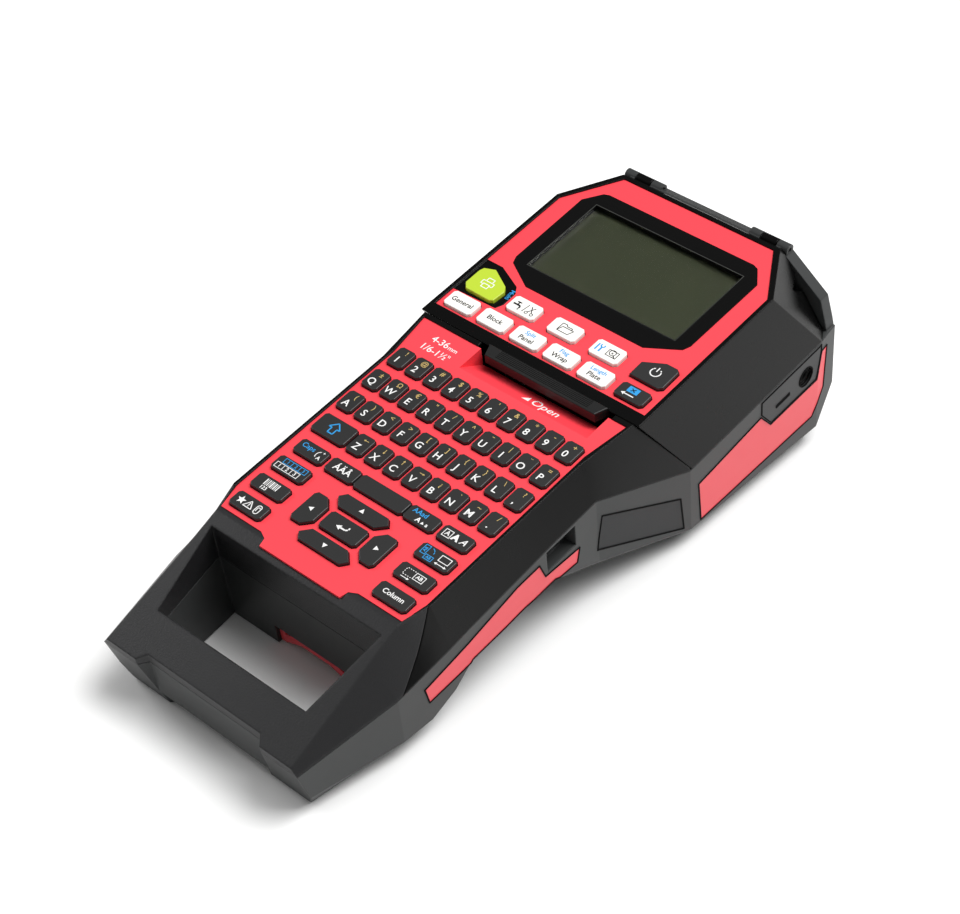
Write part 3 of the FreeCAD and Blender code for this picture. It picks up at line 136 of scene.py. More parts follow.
@dataclass(frozen=True)
class Finish:
    """One surface finish of the machine."""

    name: str
    colour: Colour
    roughness: float = 0.4
    metallic: float = 0.0
    coat: float = 0.0
    specular: float = 0.5
    transmission: float = 0.0
    ior: float = 1.46
    unevenness: float = 0.06
    edge: float = 0.5
    grain: Grain = Grain.NONE

    def material(self) -> bpy.types.Material:
        """Makes the finish's material once.

        The name has to differ from every slot of the record. The CAD model brings a plain material for each
        slot, and that one would be found here instead.

        Returns: the material.
        """
        found = bpy.data.materials.get(self.name)
        if found:
            return found
        made = bpy.data.materials.new(self.name)
        made.use_nodes = True
        nodes, links = made.node_tree.nodes, made.node_tree.links
        shader = nodes["Principled BSDF"]
        shader.inputs["Base Color"].default_value = (*self.colour, 1.0)
        shader.inputs["Roughness"].default_value = self.roughness
        shader.inputs["Metallic"].default_value = self.metallic
        shader.inputs["Coat Weight"].default_value = self.coat
        shader.inputs["Coat Roughness"].default_value = 0.05
        shader.inputs["Specular IOR Level"].default_value = self.specular
        shader.inputs["Transmission Weight"].default_value = self.transmission
        shader.inputs["IOR"].default_value = self.ior
        if self.grain is not Grain.NONE:
            scale, depth = GRAIN_SIZES[self.grain]
            relief = nodes.new("ShaderNodeGroup")
            relief.node_tree = grain_group()
            relief.inputs["Scale"].default_value = scale
            relief.inputs["Depth"].default_value = depth
            relief.inputs["Roughness"].default_value = self.roughness
            relief.inputs["Unevenness"].default_value = self.unevenness
            edge = nodes.new("ShaderNodeBevel")
            edge.samples = 4
            edge.inputs["Radius"].default_value = self.edge * MM
            links.new(edge.outputs["Normal"], relief.inputs["Edge Normal"])
            links.new(relief.outputs["Normal"], shader.inputs["Normal"])
            links.new(relief.outputs["Roughness"], shader.inputs["Roughness"])
        return made


@dataclass(frozen=True)
class RecordFinish:
    """A plain material of the record, which comes in with the CAD model under its slot's name."""

    slot: str

    def material(self) -> bpy.types.Material:
        """Finds the material.

        Returns: the material.
        """
        return bpy.data.materials[self.slot]


HOUSING = Finish("housing_plastic", (0.037, 0.039, 0.039), 0.42, specular=0.3, edge=0.9, grain=Grain.SATIN)
HANDLE = Finish("handle_grain_plastic", (0.013, 0.013, 0.014), 0.44, specular=0.45, edge=1.2,
                grain=Grain.LEATHERY)
FRAME = Finish("frame_satin_plastic", (0.004, 0.004, 0.004), 0.28, specular=0.20, edge=0.8, grain=Grain.SATIN)
COVER = Finish("cover_satin_plastic", (0.003, 0.003, 0.003), 0.27, specular=0.20, edge=0.8, grain=Grain.SATIN)
LIP = Finish("lip_plastic", (0.012, 0.012, 0.012), 0.40, specular=0.4, edge=0.1, grain=Grain.SATIN)
BEZEL = Finish("bezel_gloss", (0.004, 0.004, 0.004), 0.16, specular=0.4)
GRIP = Finish("waist_grip", (0.016, 0.017, 0.018), 0.5, specular=0.35, grain=Grain.SATIN)
PLATE = Finish("jack_plate", (0.022, 0.023, 0.024), 0.45, specular=0.35, grain=Grain.SATIN)
SOCKET = Finish("socket_black", (0.012, 0.012, 0.012), 0.4)
BAY = Finish("bay_grey_plastic", (0.07, 0.074, 0.078), 0.5, grain=Grain.SATIN)
HEAD = Finish("head_aluminium", (0.6, 0.6, 0.61), 0.35, metallic=1.0)
WINDOW = Finish("display_window", (0.80, 0.82, 0.76), 0.03, transmission=1.0, ior=1.40)
GLASS = Finish("display_glass", (0.098, 0.105, 0.070), 0.28, coat=0.2)
CASSETTE = Finish("cassette_plastic", (0.30, 0.31, 0.33), 0.4, grain=Grain.SATIN)
GEAR = Finish("gear_nylon", (0.72, 0.71, 0.66), 0.45)
PACK = Finish("battery_plastic", (0.014, 0.014, 0.014), 0.48, grain=Grain.SATIN)
# Partly painted highlight: lighter than the bezel so the strip reads as the glint on the glass edge; the coat gives
# real reflection.
GLASS_EDGE_HIGHLIGHT = Finish("display_glass_edge", (0.05, 0.052, 0.048), 0.15, coat=0.5)
# Painted shade: near-black finish of the rods that stand in for the shade inside the gaps round let-in pieces.
SEAM_SHADE = Finish("seam_shadow", (0.004, 0.004, 0.004), 0.8, specular=0.1)
STICKER = Finish("cassette_sticker", (0.62, 0.62, 0.60), 0.6, specular=0.2)
STICKER_INK = Finish("sticker_ink", (0.06, 0.06, 0.065), 0.6, specular=0.2)
INK_WHITE = Finish("ink_white", (0.78, 0.78, 0.77), 0.6, specular=0.2)
INK_GOLD = Finish("ink_gold", (0.52, 0.38, 0.14), 0.6, specular=0.2)
INK_BLUE = Finish("ink_blue", (0.03, 0.30, 0.66), 0.6, specular=0.2)
INK_BLACK = Finish("ink_black", (0.012, 0.012, 0.014), 0.6, specular=0.2)
HINGE_STEEL = Finish("hinge_pin_steel", (0.05, 0.05, 0.05), 0.4, metallic=1.0)
FLOOR = Finish("studio_floor", (0.90, 0.90, 0.895), 0.8, specular=0.1)

# These keep the plain look of the record: they have no grain and no rounded edges.
PANEL = RecordFinish("panel_red")
INLAY = RecordFinish("inlay_red")
RUBBER = RecordFinish("foot_rubber")
STEEL = RecordFinish("screw_steel")
BOARD = RecordFinish("board_green")
CAN = RecordFinish("motor_can")
PAPER = RecordFinish("label_tape")
ROLLER = RecordFinish("roller_rubber")
BRASS = RecordFinish("pinion_brass")
LATCH = RecordFinish("latch_red")
KEY_BLACK = RecordFinish("key_black")
KEY_LIME = RecordFinish("key_lime")
KEY_WHITE = RecordFinish("key_white")

CAD_FINISHES: dict[Finish | RecordFinish, tuple[str, ...]] = {
    HOUSING: ("lower_housing",),
    HANDLE: ("handle_shell",),
    FRAME: ("keyboard_frame",),
    COVER: ("cover_shell",),
    LIP: ("lift_lip",),
    BEZEL: ("lcd_bezel",),
    PANEL: ("deck_panel", "cover_face"),
    INLAY: ("front_side_inlays", "rear_side_inlays"),
    GRIP: ("waist_grips",),
    PLATE: ("dc_jack_plate",),
    RUBBER: ("rubber_feet", "key_mat"),
    STEEL: ("housing_screws", "gear_plate", "cutter_blade", "battery_contacts"),
    HINGE_STEEL: ("hinge_pins",),
    BOARD: ("key_circuit_board", "main_circuit_board", "cover_circuit_board"),
    SOCKET: ("usb_socket", "dc_jack"),
    BAY: ("tape_bay_frame", "cover_liner"),
    CAN: ("drive_motor",),
    HEAD: ("print_head",),
    WINDOW: ("lcd_window",),
    GLASS: ("lcd_panel",),
    CASSETTE: ("cassette_case",),
    PAPER: ("tape_roll",),
    ROLLER: ("platen_roller",),
    GEAR: ("platen_gear", "idler_gear", "ribbon_spindle"),
    BRASS: ("motor_pinion",),
    PACK: ("battery_pack", "battery_cover"),
    LATCH: ("battery_latch",),
    KEY_LIME: ("print_key",),
    KEY_WHITE: ("tool_keys", "mode_keys"),
    KEY_BLACK: ("number_row_keys", "upper_letter_keys", "middle_letter_keys", "lower_letter_keys", "shift_key",
                "edit_keys", "space_bar", "symbol_keys", "layout_keys", "enter_key", "up_arrow_key",
                "down_arrow_key", "left_arrow_key", "right_arrow_key", "power_key", "backspace_key"),
}


def dress_cad_nodes() -> None:
    """Gives every CAD node its finish."""
    for finish, names in CAD_FINISHES.items():
        for name in names:
            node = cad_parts[name]
            node.data.materials.clear()
            node.data.materials.append(finish.material())
    LOG.info("dressed %d CAD nodes", sum(len(names) for names in CAD_FINISHES.values()))


# ---- mesh helpers -------------------------------------------------------------
def land(work: bmesh.types.BMesh, name: str, finish: Finish, body: str,
         smooth_angle: float = 30.0) -> bpy.types.Object:
    """Turns a bmesh drawn in the face frame into a finished piece.

    Args:
        work: the mesh in face millimetres; it is freed.
        name: name of the piece.
        finish: its surface.
        body: the CAD body it rides on.
        smooth_angle: edges flatter than this are shaded smooth, in degrees.

    Returns: the piece.
    """
    work.transform(FACE.matrix())
    bmesh.ops.recalc_face_normals(work, faces=work.faces)
    mesh = bpy.data.meshes.new(name)
    work.to_mesh(mesh)
    work.free()
    piece = bpy.data.objects.new(name, mesh)
    bpy.context.scene.collection.objects.link(piece)
    mesh.materials.append(finish.material())
    mesh.shade_smooth()
    mesh.set_sharp_from_angle(angle=math.radians(smooth_angle))
    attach(piece, body)
    LOG.info("%s on %s: %d faces", name, body, len(mesh.polygons))
    return piece


# ---- printed legends ------------------------------------------------------------
ARROW_WING = 122


@dataclass
class Print:
    """Raised print of one ink on one body, drawn in face millimetres."""

    name: str
    body: str
    ink: Finish
    slot: str
    base: float = 0.0
    thickness: float = 0.03
    work: bmesh.types.BMesh = field(default_factory=bmesh.new)
    words: list[tuple[str, float, float, float, float, float, float]] = field(default_factory=list)

    def word(self, text: str, x: float, y: float, size: float, bold: float = 0.05, slant: float = 0.0,
             turn: float = 0.0) -> None:
        """Adds a word centred on a point.

        Args:
            text: the letters.
            x: centre across.
            y: centre along.
            size: letter size.
            bold: how far each stroke is thickened.
            slant: lean of the letters.
            turn: rotation in the face, degrees.
        """
        self.words.append((text, x, y, size, bold, slant, turn))

    def polygon(self, outline: Sequence[Point]) -> None:
        """Adds a filled shape.

        Args:
            outline: its corners in order.
        """
        corners = [self.work.verts.new((x, y, self.base)) for x, y in outline]
        face = self.work.faces.new(corners)
        raised = bmesh.ops.extrude_face_region(self.work, geom=[face])
        moved = [v for v in raised["geom"] if isinstance(v, bmesh.types.BMVert)]
        bmesh.ops.translate(self.work, verts=moved, vec=(0, 0, self.thickness))

    def bar(self, a: Point, b: Point, width: float) -> None:
        """Adds a straight stroke.

        Args:
            a: one end.
            b: the other end.
            width: width of the stroke.
        """
        along = Vector((b[0] - a[0], b[1] - a[1]))
        side = Vector((-along.y, along.x)).normalized() * width / 2
        self.polygon([(a[0] + side.x, a[1] + side.y), (a[0] - side.x, a[1] - side.y),
                      (b[0] - side.x, b[1] - side.y), (b[0] + side.x, b[1] + side.y)])

    def path(self, points: Sequence[Point], width: float) -> None:
        """Adds strokes from point to point.

        Args:
            points: the points in order.
            width: width of the strokes.
        """
        for a, b in zip(points, points[1:]):
            self.bar(a, b, width)

    def frame(self, x: float, y: float, w: float, h: float, line: float) -> None:
        """Adds the outline of a rectangle.

        Args:
            x: centre across.
            y: centre along.
            w: width.
            h: height.
            line: width of the line.
        """
        a, b = w / 2, h / 2
        for dx, dy, lw, lh in ((0, b, w + line, line), (0, -b, w + line, line),
                               (-a, 0, line, h - line), (a, 0, line, h - line)):
            self.block(x + dx, y + dy, lw, lh)

    def block(self, x: float, y: float, w: float, h: float) -> None:
        """Adds a filled rectangle.

        Args:
            x: centre across.
            y: centre along.
            w: width.
            h: height.
        """
        self.polygon([(x - w / 2, y - h / 2), (x + w / 2, y - h / 2), (x + w / 2, y + h / 2), (x - w / 2, y + h / 2)])

    def arc(self, x: float, y: float, radius: float, line: float, start: float, end: float,
            steps: int = 14) -> None:
        """Adds a curved stroke.

        Args:
            x: centre across.
            y: centre along.
            radius: radius of its middle line.
            line: width of the line.
            start: first angle, degrees.
            end: last angle, degrees.
            steps: straight pieces it is made of.
        """
        ring = []
        for k in range(steps + 1):
            angle = math.radians(start + (end - start) * k / steps)
            ring.append((math.cos(angle), math.sin(angle)))
        outer, inner = radius + line / 2, radius - line / 2
        for (c0, s0), (c1, s1) in zip(ring, ring[1:]):
            self.polygon([(x + inner * c0, y + inner * s0), (x + outer * c0, y + outer * s0),
                          (x + outer * c1, y + outer * s1), (x + inner * c1, y + inner * s1)])

    def triangle(self, x: float, y: float, size: float, heading: float) -> None:
        """Adds a filled triangle.

        Args:
            x: centre across.
            y: centre along.
            size: distance from its centre to its tip.
            heading: the way it points, degrees.
        """
        self.polygon([(x + size * math.cos(math.radians(heading + turn)),
                       y + size * math.sin(math.radians(heading + turn))) for turn in (0, ARROW_WING, -ARROW_WING)])

    def _typeset(self) -> None:
        """Turns the words into meshes and adds them."""
        made = []
        for text, x, y, size, bold, slant, turn in self.words:
            curve = bpy.data.curves.new("legend", "FONT")
            curve.body = text
            curve.size = size
            curve.offset = bold
            curve.shear = slant
            curve.extrude = self.thickness / 2
            curve.resolution_u = 3
            curve.align_x = "CENTER"
            curve.align_y = "CENTER"
            holder = bpy.data.objects.new("legend", curve)
            bpy.context.scene.collection.objects.link(holder)
            place = Matrix.Translation((x, y, self.base + self.thickness / 2))
            made.append((holder, place @ Matrix.Rotation(math.radians(turn), 4, "Z")))
        bpy.context.view_layer.update()
        graph = bpy.context.evaluated_depsgraph_get()
        for holder, place in made:
            mesh = bpy.data.meshes.new_from_object(holder.evaluated_get(graph))
            mesh.transform(place)
            self.work.from_mesh(mesh)
            bpy.data.meshes.remove(mesh)
            curve = holder.data
            bpy.data.objects.remove(holder)
            bpy.data.curves.remove(curve)

    def done(self, place: Optional[Matrix] = None) -> Optional[bpy.types.Object]:
        """Finishes the print.

        Args:
            place: where the drawing plane lies in the face frame, if it isn't the key tops.

        Returns: the finished print, or None when nothing was drawn.
        """
        self._typeset()
        if not self.work.faces:
            self.work.free()
            return None
        bmesh.ops.remove_doubles(self.work, verts=self.work.verts, dist=0.001)
        if place is not None:
            self.work.transform(place)
        return land(self.work, self.name, self.ink, self.body, 20.0)


@dataclass
class Keyboard:
    """Print on the keys of the deck."""

    pitch: float = 10.0
    row_pitch: float = 15.4
    letter: float = 4.9
    symbol: float = 3.4
    letter_shift: Point = (-0.7, -1.9)
    symbol_shift: Point = (0.9, 2.7)
    wide_row_y: float = -60.6
    wide_pitch: float = 17.3
    side_x: float = 38.5
    side_pitch: float = 11.8
    pad_y: float = -82.8
    pad_up: float = 10.7
    pad_across: float = 17.3
    middle_column: float = 4.5

    rows = (
        ("number_row_keys", 0, 0, "1234567890", "!@#$%'&*-+"),
        ("upper_letter_keys", 1, 0, "QWERTYUIOP", "±Ω€\"/^¯|¨="),
        ("middle_letter_keys", 2, 0, "ASDFGHJKL,", "()<>[]{}\\?"),
        ("lower_letter_keys", 3, 2, "ZXCVBNM.", "    ¿`~/"),
    )

    def column(self, index: float) -> float:
        """Finds a key column.

        Args:
            index: column number from the left, which may be between two columns.

        Returns: the column's centre across.
        """
        return self.pitch * (index - self.middle_column)

    def print_rows(self) -> None:
        """Prints the letters, digits and shifted symbols."""
        for body, row, first, letters, symbols in self.rows:
            white = Print(body + "_letters", body, INK_WHITE, "key_black")
            gold = Print(body + "_symbols", body, INK_GOLD, "key_black")
            y = -self.row_pitch * row
            for k, (main, shifted) in enumerate(zip(letters, symbols)):
                x = self.column(first + k)
                white.word(main, x + self.letter_shift[0], y + self.letter_shift[1], self.letter, 0.045)
                if shifted != " ":
                    gold.word(shifted, x + self.symbol_shift[0], y + self.symbol_shift[1], self.symbol, 0.02)
            if row == 3:
                for k, heading in enumerate((180, -90, 90, 0)):
                    self._small_arrow(gold, self.column(first + k) + self.symbol_shift[0],
                                      y + self.symbol_shift[1], heading)
            white.done()
            gold.done()

    def _small_arrow(self, ink: Print, x: float, y: float, heading: float) -> None:
        """Draws a fine arrow.

        Args:
            ink: the print it is added to.
            x: centre across.
            y: centre along.
            heading: the way it points, degrees.
        """
        dx, dy = math.cos(math.radians(heading)), math.sin(math.radians(heading))
        ink.bar((x - 1.2 * dx, y - 1.2 * dy), (x + 0.6 * dx, y + 0.6 * dy), 0.28)
        ink.triangle(x + 0.75 * dx, y + 0.75 * dy, 0.62, heading)

    def print_shift(self) -> None:
        """Prints the hollow arrow of the shift key."""
        ink = Print("shift_arrow", "shift_key", INK_BLUE, "key_black")
        x, y = self.column(0.55), -self.row_pitch * 3
        outline = [(0, 3.2), (2.9, 0.1), (1.35, 0.1), (1.35, -2.8), (-1.35, -2.8), (-1.35, 0.1), (-2.9, 0.1), (0, 3.2)]
        ink.path([(x + a, y + b) for a, b in outline], 0.55)
        ink.done()

    def print_edit_keys(self) -> None:
        """Prints the capitals, accents, size and style keys."""
        white = Print("edit_white_print", "edit_keys", INK_WHITE, "key_black")
        blue = Print("edit_blue_print", "edit_keys", INK_BLUE, "key_black")
        y = self.wide_row_y
        caps_x, accent_x = -self.side_x, -self.side_x + self.wide_pitch
        size_x, style_x = self.side_x - self.wide_pitch, self.side_x
        blue.word("Caps", caps_x - 2.2, y + 1.0, 3.4, 0.02)
        white.word("A", caps_x + 4.9, y - 1.4, 2.6, 0.05)
        white.arc(caps_x + 5.0, y - 0.2, 2.3, 0.35, 115, 215)
        white.word("+", caps_x + 5.4, y + 1.9, 2.2, 0.02)
        white.word("ÁÄÂ", accent_x, y - 0.3, 4.4, 0.06)
        blue.word("AAad", size_x - 2.0, y + 1.5, 3.2, 0.03)
        white.word("A", size_x - 0.6, y - 1.7, 3.2, 0.08)
        white.triangle(size_x + 1.9, y - 2.2, 0.9, -20)
        white.word("a", size_x + 4.0, y - 2.0, 2.6, 0.06)
        white.frame(style_x - 4.0, y, 3.6, 3.6, 0.32)
        white.word("A", style_x - 4.0, y, 3.2, 0.04)
        white.word("A", style_x, y, 4.4, 0.22)
        white.word("A", style_x + 3.9, y, 4.2, 0.04, slant=0.35)
        white.done()
        blue.done()

    def print_symbol_keys(self) -> None:
        """Prints the numbering, barcode and symbol keys."""
        white = Print("symbol_white_print", "symbol_keys", INK_WHITE, "key_black")
        blue = Print("symbol_blue_print", "symbol_keys", INK_BLUE, "key_black")
        x = -self.side_x
        y = self.wide_row_y - self.side_pitch
        for k in range(3):
            white.frame(x - 5.0 + 4.1 * k, y - 1.5, 4.1, 2.7, 0.28)
            white.word(str(k + 1), x - 5.0 + 4.1 * k, y - 1.5, 2.5, 0.04)
            blue.word(str(k + 1), x - 3.0 + 4.1 * k, y + 1.7, 2.1, 0.02)
        blue.frame(x + 0.9, y + 1.7, 12.0, 2.6, 0.26)
        for k in range(2):
            blue.block(x - 1.0 + 4.1 * k, y + 1.7, 0.26, 2.4)
        y -= self.side_pitch
        for k, width in enumerate((0.5, 0.25, 0.4, 0.25, 0.6, 0.25, 0.5, 0.3, 0.45)):
            white.block(x - 3.3 + 0.82 * k, y + 0.9, width, 3.4)
        white.word("123", x - 1.9, y - 2.2, 2.4, 0.05)
        y -= self.side_pitch
        star = []
        for k in range(10):
            radius = 2.2 if k % 2 == 0 else 0.95
            angle = math.radians(90 + 36 * k)
            star.append((x - 4.4 + radius * math.cos(angle), y + radius * math.sin(angle)))
        for k in range(5):
            centre = (x - 4.4, y)
            white.polygon([centre, star[2 * k - 1], star[2 * k], star[2 * k + 1]])
        white.path([(x + 0.0, y + 1.9), (x + 2.2, y - 1.7), (x - 2.2, y - 1.7), (x + 0.0, y + 1.9)], 0.4)
        white.block(x + 0.0, y + 0.1, 0.4, 1.5)
        white.block(x + 0.0, y - 1.0, 0.4, 0.4)
        white.arc(x + 4.6, y + 1.0, 1.1, 0.4, 0, 180)
        white.arc(x + 4.6, y - 1.2, 1.1, 0.4, 180, 360)
        white.arc(x + 4.7, y + 0.6, 0.5, 0.35, 0, 180)
        white.bar((x + 3.5, y + 1.0), (x + 3.5, y - 1.2), 0.4)
        white.bar((x + 5.7, y + 1.0), (x + 5.7, y - 1.2), 0.4)
        white.bar((x + 4.2, y + 0.6), (x + 4.2, y - 1.2), 0.35)
        white.done()
        blue.done()

    def print_layout_keys(self) -> None:
        """Prints the direction, length, block and column keys."""
        white = Print("layout_white_print", "layout_keys", INK_WHITE, "key_black")
        blue = Print("layout_blue_print", "layout_keys", INK_BLUE, "key_black")
        x = self.side_x
        y = self.wide_row_y - self.side_pitch
        blue.frame(x - 5.6, y + 0.8, 2.3, 4.4, 0.28)
        blue.word("AB", x - 5.6, y + 0.8, 1.9, 0.03, turn=90)
        blue.frame(x - 2.0, y - 1.9, 3.8, 2.2, 0.28)
        blue.word("AB", x - 2.0, y - 1.9, 1.9, 0.03)
        blue.arc(x - 3.6, y + 0.6, 2.2, 0.3, 0, 80)
        white.frame(x + 4.3, y + 0.9, 4.8, 3.0, 0.34)
        white.bar((x + 2.4, y - 2.2), (x + 6.2, y - 2.2), 0.34)
        white.triangle(x + 2.1, y - 2.2, 0.75, 180)
        white.triangle(x + 6.5, y - 2.2, 0.75, 0)
        y -= self.side_pitch
        for k in range(4):
            white.block(x - 4.4 + 1.15 * k, y + 1.9, 0.55, 0.3)
            white.block(x - 4.4 + 1.15 * k, y - 1.5, 0.55, 0.3)
        for k in range(3):
            white.block(x - 4.9, y + 1.2 - 1.1 * k, 0.3, 0.55)
        white.frame(x + 2.3, y + 0.2, 4.6, 3.2, 0.3)
        white.word("AB", x + 2.3, y + 0.2, 2.4, 0.05)
        white.bar((x - 4.8, y - 2.7), (x - 1.6, y - 2.7), 0.3)
        white.triangle(x - 1.3, y - 2.7, 0.7, 0)
        y -= self.side_pitch
        white.word("Column", x, y, 3.3, 0.05)
        white.done()
        blue.done()

    def print_pad(self) -> None:
        """Prints the arrows and the return mark of the cursor pad."""
        for body, dx, dy, heading in (("up_arrow_key", 0, self.pad_up, 90),
                                      ("down_arrow_key", 0, -self.pad_up, -90),
                                      ("left_arrow_key", -self.pad_across, 0, 180),
                                      ("right_arrow_key", self.pad_across, 0, 0)):
            ink = Print(body + "_mark", body, INK_WHITE, "key_black")
            ink.triangle(dx, self.pad_y + dy, 1.35, heading)
            ink.done()
        ink = Print("enter_mark", "enter_key", INK_WHITE, "key_black")
        y = self.pad_y
        ink.triangle(-1.9, y - 0.5, 1.5, 180)
        ink.bar((-1.6, y - 0.5), (0.9, y - 0.5), 0.7)
        ink.arc(0.9, y + 0.9, 1.4, 0.7, -90, 20, 8)
        ink.done()

    def build(self) -> None:
        """Prints the whole keyboard."""
        self.print_rows()
        self.print_shift()
        self.print_edit_keys()
        self.print_symbol_keys()
        self.print_layout_keys()
        self.print_pad()


@dataclass
class CoverPrint:
    """Print on the keys and the panel of the display cover."""

    mode_x: float = -46.0
    mode_pitch: float = 18.1
    mode_y: float = 39.8
    tool_y: float = 52.7
    tool_x: tuple[float, float, float] = (-22.4, -0.2, 22.2)
    print_x: float = -44.8
    print_y: float = 55.0
    power_x: float = 45.6
    power_y: float = 54.6
    erase_x: float = 45.4
    panel_z: float = -1.6
    bezel_z: float = -1.3
    display_half: float = 39.6
    display_near: float = 75.0
    display_far: float = 122.0
    edge_line: float = 0.35

    def print_modes(self) -> None:
        """Prints the five mode keys."""
        black = Print("mode_words", "mode_keys", INK_BLACK, "key_white")
        blue = Print("mode_second_words", "mode_keys", INK_BLUE, "key_white")
        for k, (word, second) in enumerate((("General", ""), ("Block", ""), ("Panel", "Split"), ("Wrap", "Flag"),
                                            ("Plate", "Length"))):
            x = self.mode_x + self.mode_pitch * k
            black.word(word, x, self.mode_y + (-1.4 if second else 0.0), 3.5, 0.05)
            if second:
                blue.word(second, x, self.mode_y + 2.0, 3.0, 0.04)
        black.done()
        blue.done()

    def print_tools(self) -> None:
        """Prints the feed, file and preview keys."""
        black = Print("tool_marks", "tool_keys", INK_BLACK, "key_white")
        blue = Print("tool_blue_marks", "tool_keys", INK_BLUE, "key_white")
        y = self.tool_y
        x = self.tool_x[0]
        black.block(x - 3.6, y + 1.4, 2.2, 0.6)
        black.block(x - 3.6, y + 0.6, 0.6, 1.6)
        black.block(x - 4.0, y - 0.3, 3.6, 0.9)
        black.block(x - 2.0, y - 1.1, 0.8, 1.4)
        black.triangle(x - 2.0, y - 2.4, 0.6, -90)
        black.bar((x + 0.2, y - 2.4), (x + 0.9, y + 2.4), 0.35)
        black.bar((x + 2.6, y - 1.3), (x + 4.6, y + 2.2), 0.4)
        black.bar((x + 4.6, y - 1.3), (x + 2.6, y + 2.2), 0.4)
        black.arc(x + 2.2, y - 1.9, 0.7, 0.35, 0, 360)
        black.arc(x + 5.0, y - 1.9, 0.7, 0.35, 0, 360)
        x = self.tool_x[1]
        black.path([(x - 3.0, y - 2.2), (x - 3.0, y + 2.4), (x - 0.8, y + 2.4), (x - 0.2, y + 1.6), (x + 2.6, y + 1.6),
                    (x + 2.6, y + 0.7)], 0.38)
        black.path([(x - 3.0, y - 2.2), (x - 1.8, y + 0.7), (x + 3.8, y + 0.7), (x + 2.6, y - 2.2),
                    (x - 3.0, y - 2.2)], 0.38)
        x = self.tool_x[2]
        blue.bar((x - 5.4, y - 2.0), (x - 5.4, y + 2.0), 0.7)
        blue.bar((x - 3.4, y - 2.2), (x - 3.4, y + 0.6), 0.8)
        blue.arc(x - 3.4, y + 1.5, 0.9, 0.6, 140, 400)
        black.frame(x + 2.6, y - 0.2, 5.0, 3.4, 0.36)
        black.arc(x + 2.4, y + 0.4, 1.5, 0.36, 0, 360)
        black.bar((x + 3.4, y - 0.7), (x + 4.6, y - 1.9), 0.5)
        black.word("a", x + 2.4, y + 0.3, 2.0, 0.04)
        black.done()
        blue.done()

    def print_print_key(self) -> None:
        """Prints the printer mark and the word beside it."""
        ink = Print("print_key_mark", "print_key", INK_WHITE, "key_lime")
        x, y = self.print_x, self.print_y
        ink.path([(x - 1.6, y + 0.9), (x - 1.6, y + 3.0), (x + 1.6, y + 3.0), (x + 1.6, y + 0.9)], 0.42)
        ink.path([(x - 1.6, y - 1.3), (x - 3.0, y - 1.3), (x - 3.0, y + 0.9), (x + 3.0, y + 0.9), (x + 3.0, y - 1.3),
                  (x + 1.6, y - 1.3)], 0.42)
        ink.frame(x, y - 1.9, 3.2, 2.2, 0.42)
        ink.done()
        word = Print("print_surround_word", "cover", INK_BLUE, "cover_gloss", base=self.panel_z + 0.01)
        word.word("Multi", -33.7, 56.2, 3.0, 0.02, turn=-84)
        word.done()

    def print_power_and_erase(self) -> None:
        """Prints the power and the erase marks."""
        ink = Print("power_mark", "power_key", INK_WHITE, "key_black")
        ink.arc(self.power_x, self.power_y, 2.3, 0.5, 125, 415, 24)
        ink.bar((self.power_x, self.power_y + 0.4), (self.power_x, self.power_y + 3.0), 0.5)
        ink.done()
        blue = Print("erase_blue_mark", "backspace_key", INK_BLUE, "key_blue")
        x, y = self.erase_x, self.mode_y
        blue.block(x - 0.6, y + 1.4, 5.2, 3.2)
        blue.done()
        cross = Print("erase_cross", "backspace_key", INK_BLACK, "key_blue", base=0.04)
        cross.bar((x - 1.6, y + 0.6), (x + 0.4, y + 2.2), 0.45)
        cross.bar((x + 0.4, y + 0.6), (x - 1.6, y + 2.2), 0.45)
        cross.done()
        white = Print("erase_arrow", "backspace_key", INK_WHITE, "key_blue")
        white.bar((x - 3.2, y - 1.7), (x + 1.6, y - 1.7), 0.5)
        white.triangle(x - 3.6, y - 1.7, 1.1, 180)
        white.done()

    def draw_display_edge_highlight(self) -> None:
        """Draws the strip round the display window, a painted highlight: it is lighter than the bezel to stand in for
        the glint on the glass edge, and its coat adds real reflection.
        """
        edge = Print("display_edge", "cover", GLASS_EDGE_HIGHLIGHT, "lcd_glass", base=self.bezel_z)
        edge.frame(0.0, (self.display_near + self.display_far) / 2, 2 * self.display_half + self.edge_line,
                   self.display_far - self.display_near + self.edge_line, self.edge_line)
        edge.done()

    def build(self) -> None:
        """Prints the whole cover."""
        self.draw_display_edge_highlight()
        self.print_modes()
        self.print_tools()
        self.print_print_key()
        self.print_power_and_erase()


@dataclass
class DeckPrint:
    """Print on the red keyboard panel and on the slope of its finger recess."""

    panel_z: float = -1.6
    recess_near: float = 10.8
    recess_run: float = 13.8
    recess_drop: float = 9.4
    mark_stretch: float = 1.6

    def build(self) -> None:
        """Prints the tape sizes and the opening mark."""
        ink = Print("deck_print", "machine", INK_WHITE, "panel_red", base=self.panel_z)
        ink.word("4-36", -38.6, 17.4, 4.9, 0.03)
        ink.word("mm", -31.4, 16.9, 3.2, 0.02)
        ink.word("1/6-1½", -37.4, 11.6, 4.9, 0.03)
        ink.bar((-30.4, 13.6), (-30.1, 12.4), 0.3)
        ink.bar((-29.7, 13.6), (-29.4, 12.4), 0.3)
        ink.done()
        self.opening_mark()

    def opening_mark(self) -> None:
        """Prints the mark that tells where to open the cover, on the recess slope."""
        mark = Print("opening_mark", "machine", INK_WHITE, "panel_red", base=0.02)
        mark.triangle(9.4, 3.9, 2.1, 90)
        mark.word("Open", 19.6, 4.1, 6.2, 0.03, slant=-0.3)
        slope = math.atan2(self.recess_drop, self.recess_run)
        place = Matrix.Translation((0.0, self.recess_near, self.panel_z)) @ Matrix.Rotation(-slope, 4, "X")
        mark.done(place @ Matrix.Scale(self.mark_stretch, 4, (0.0, 1.0, 0.0)))
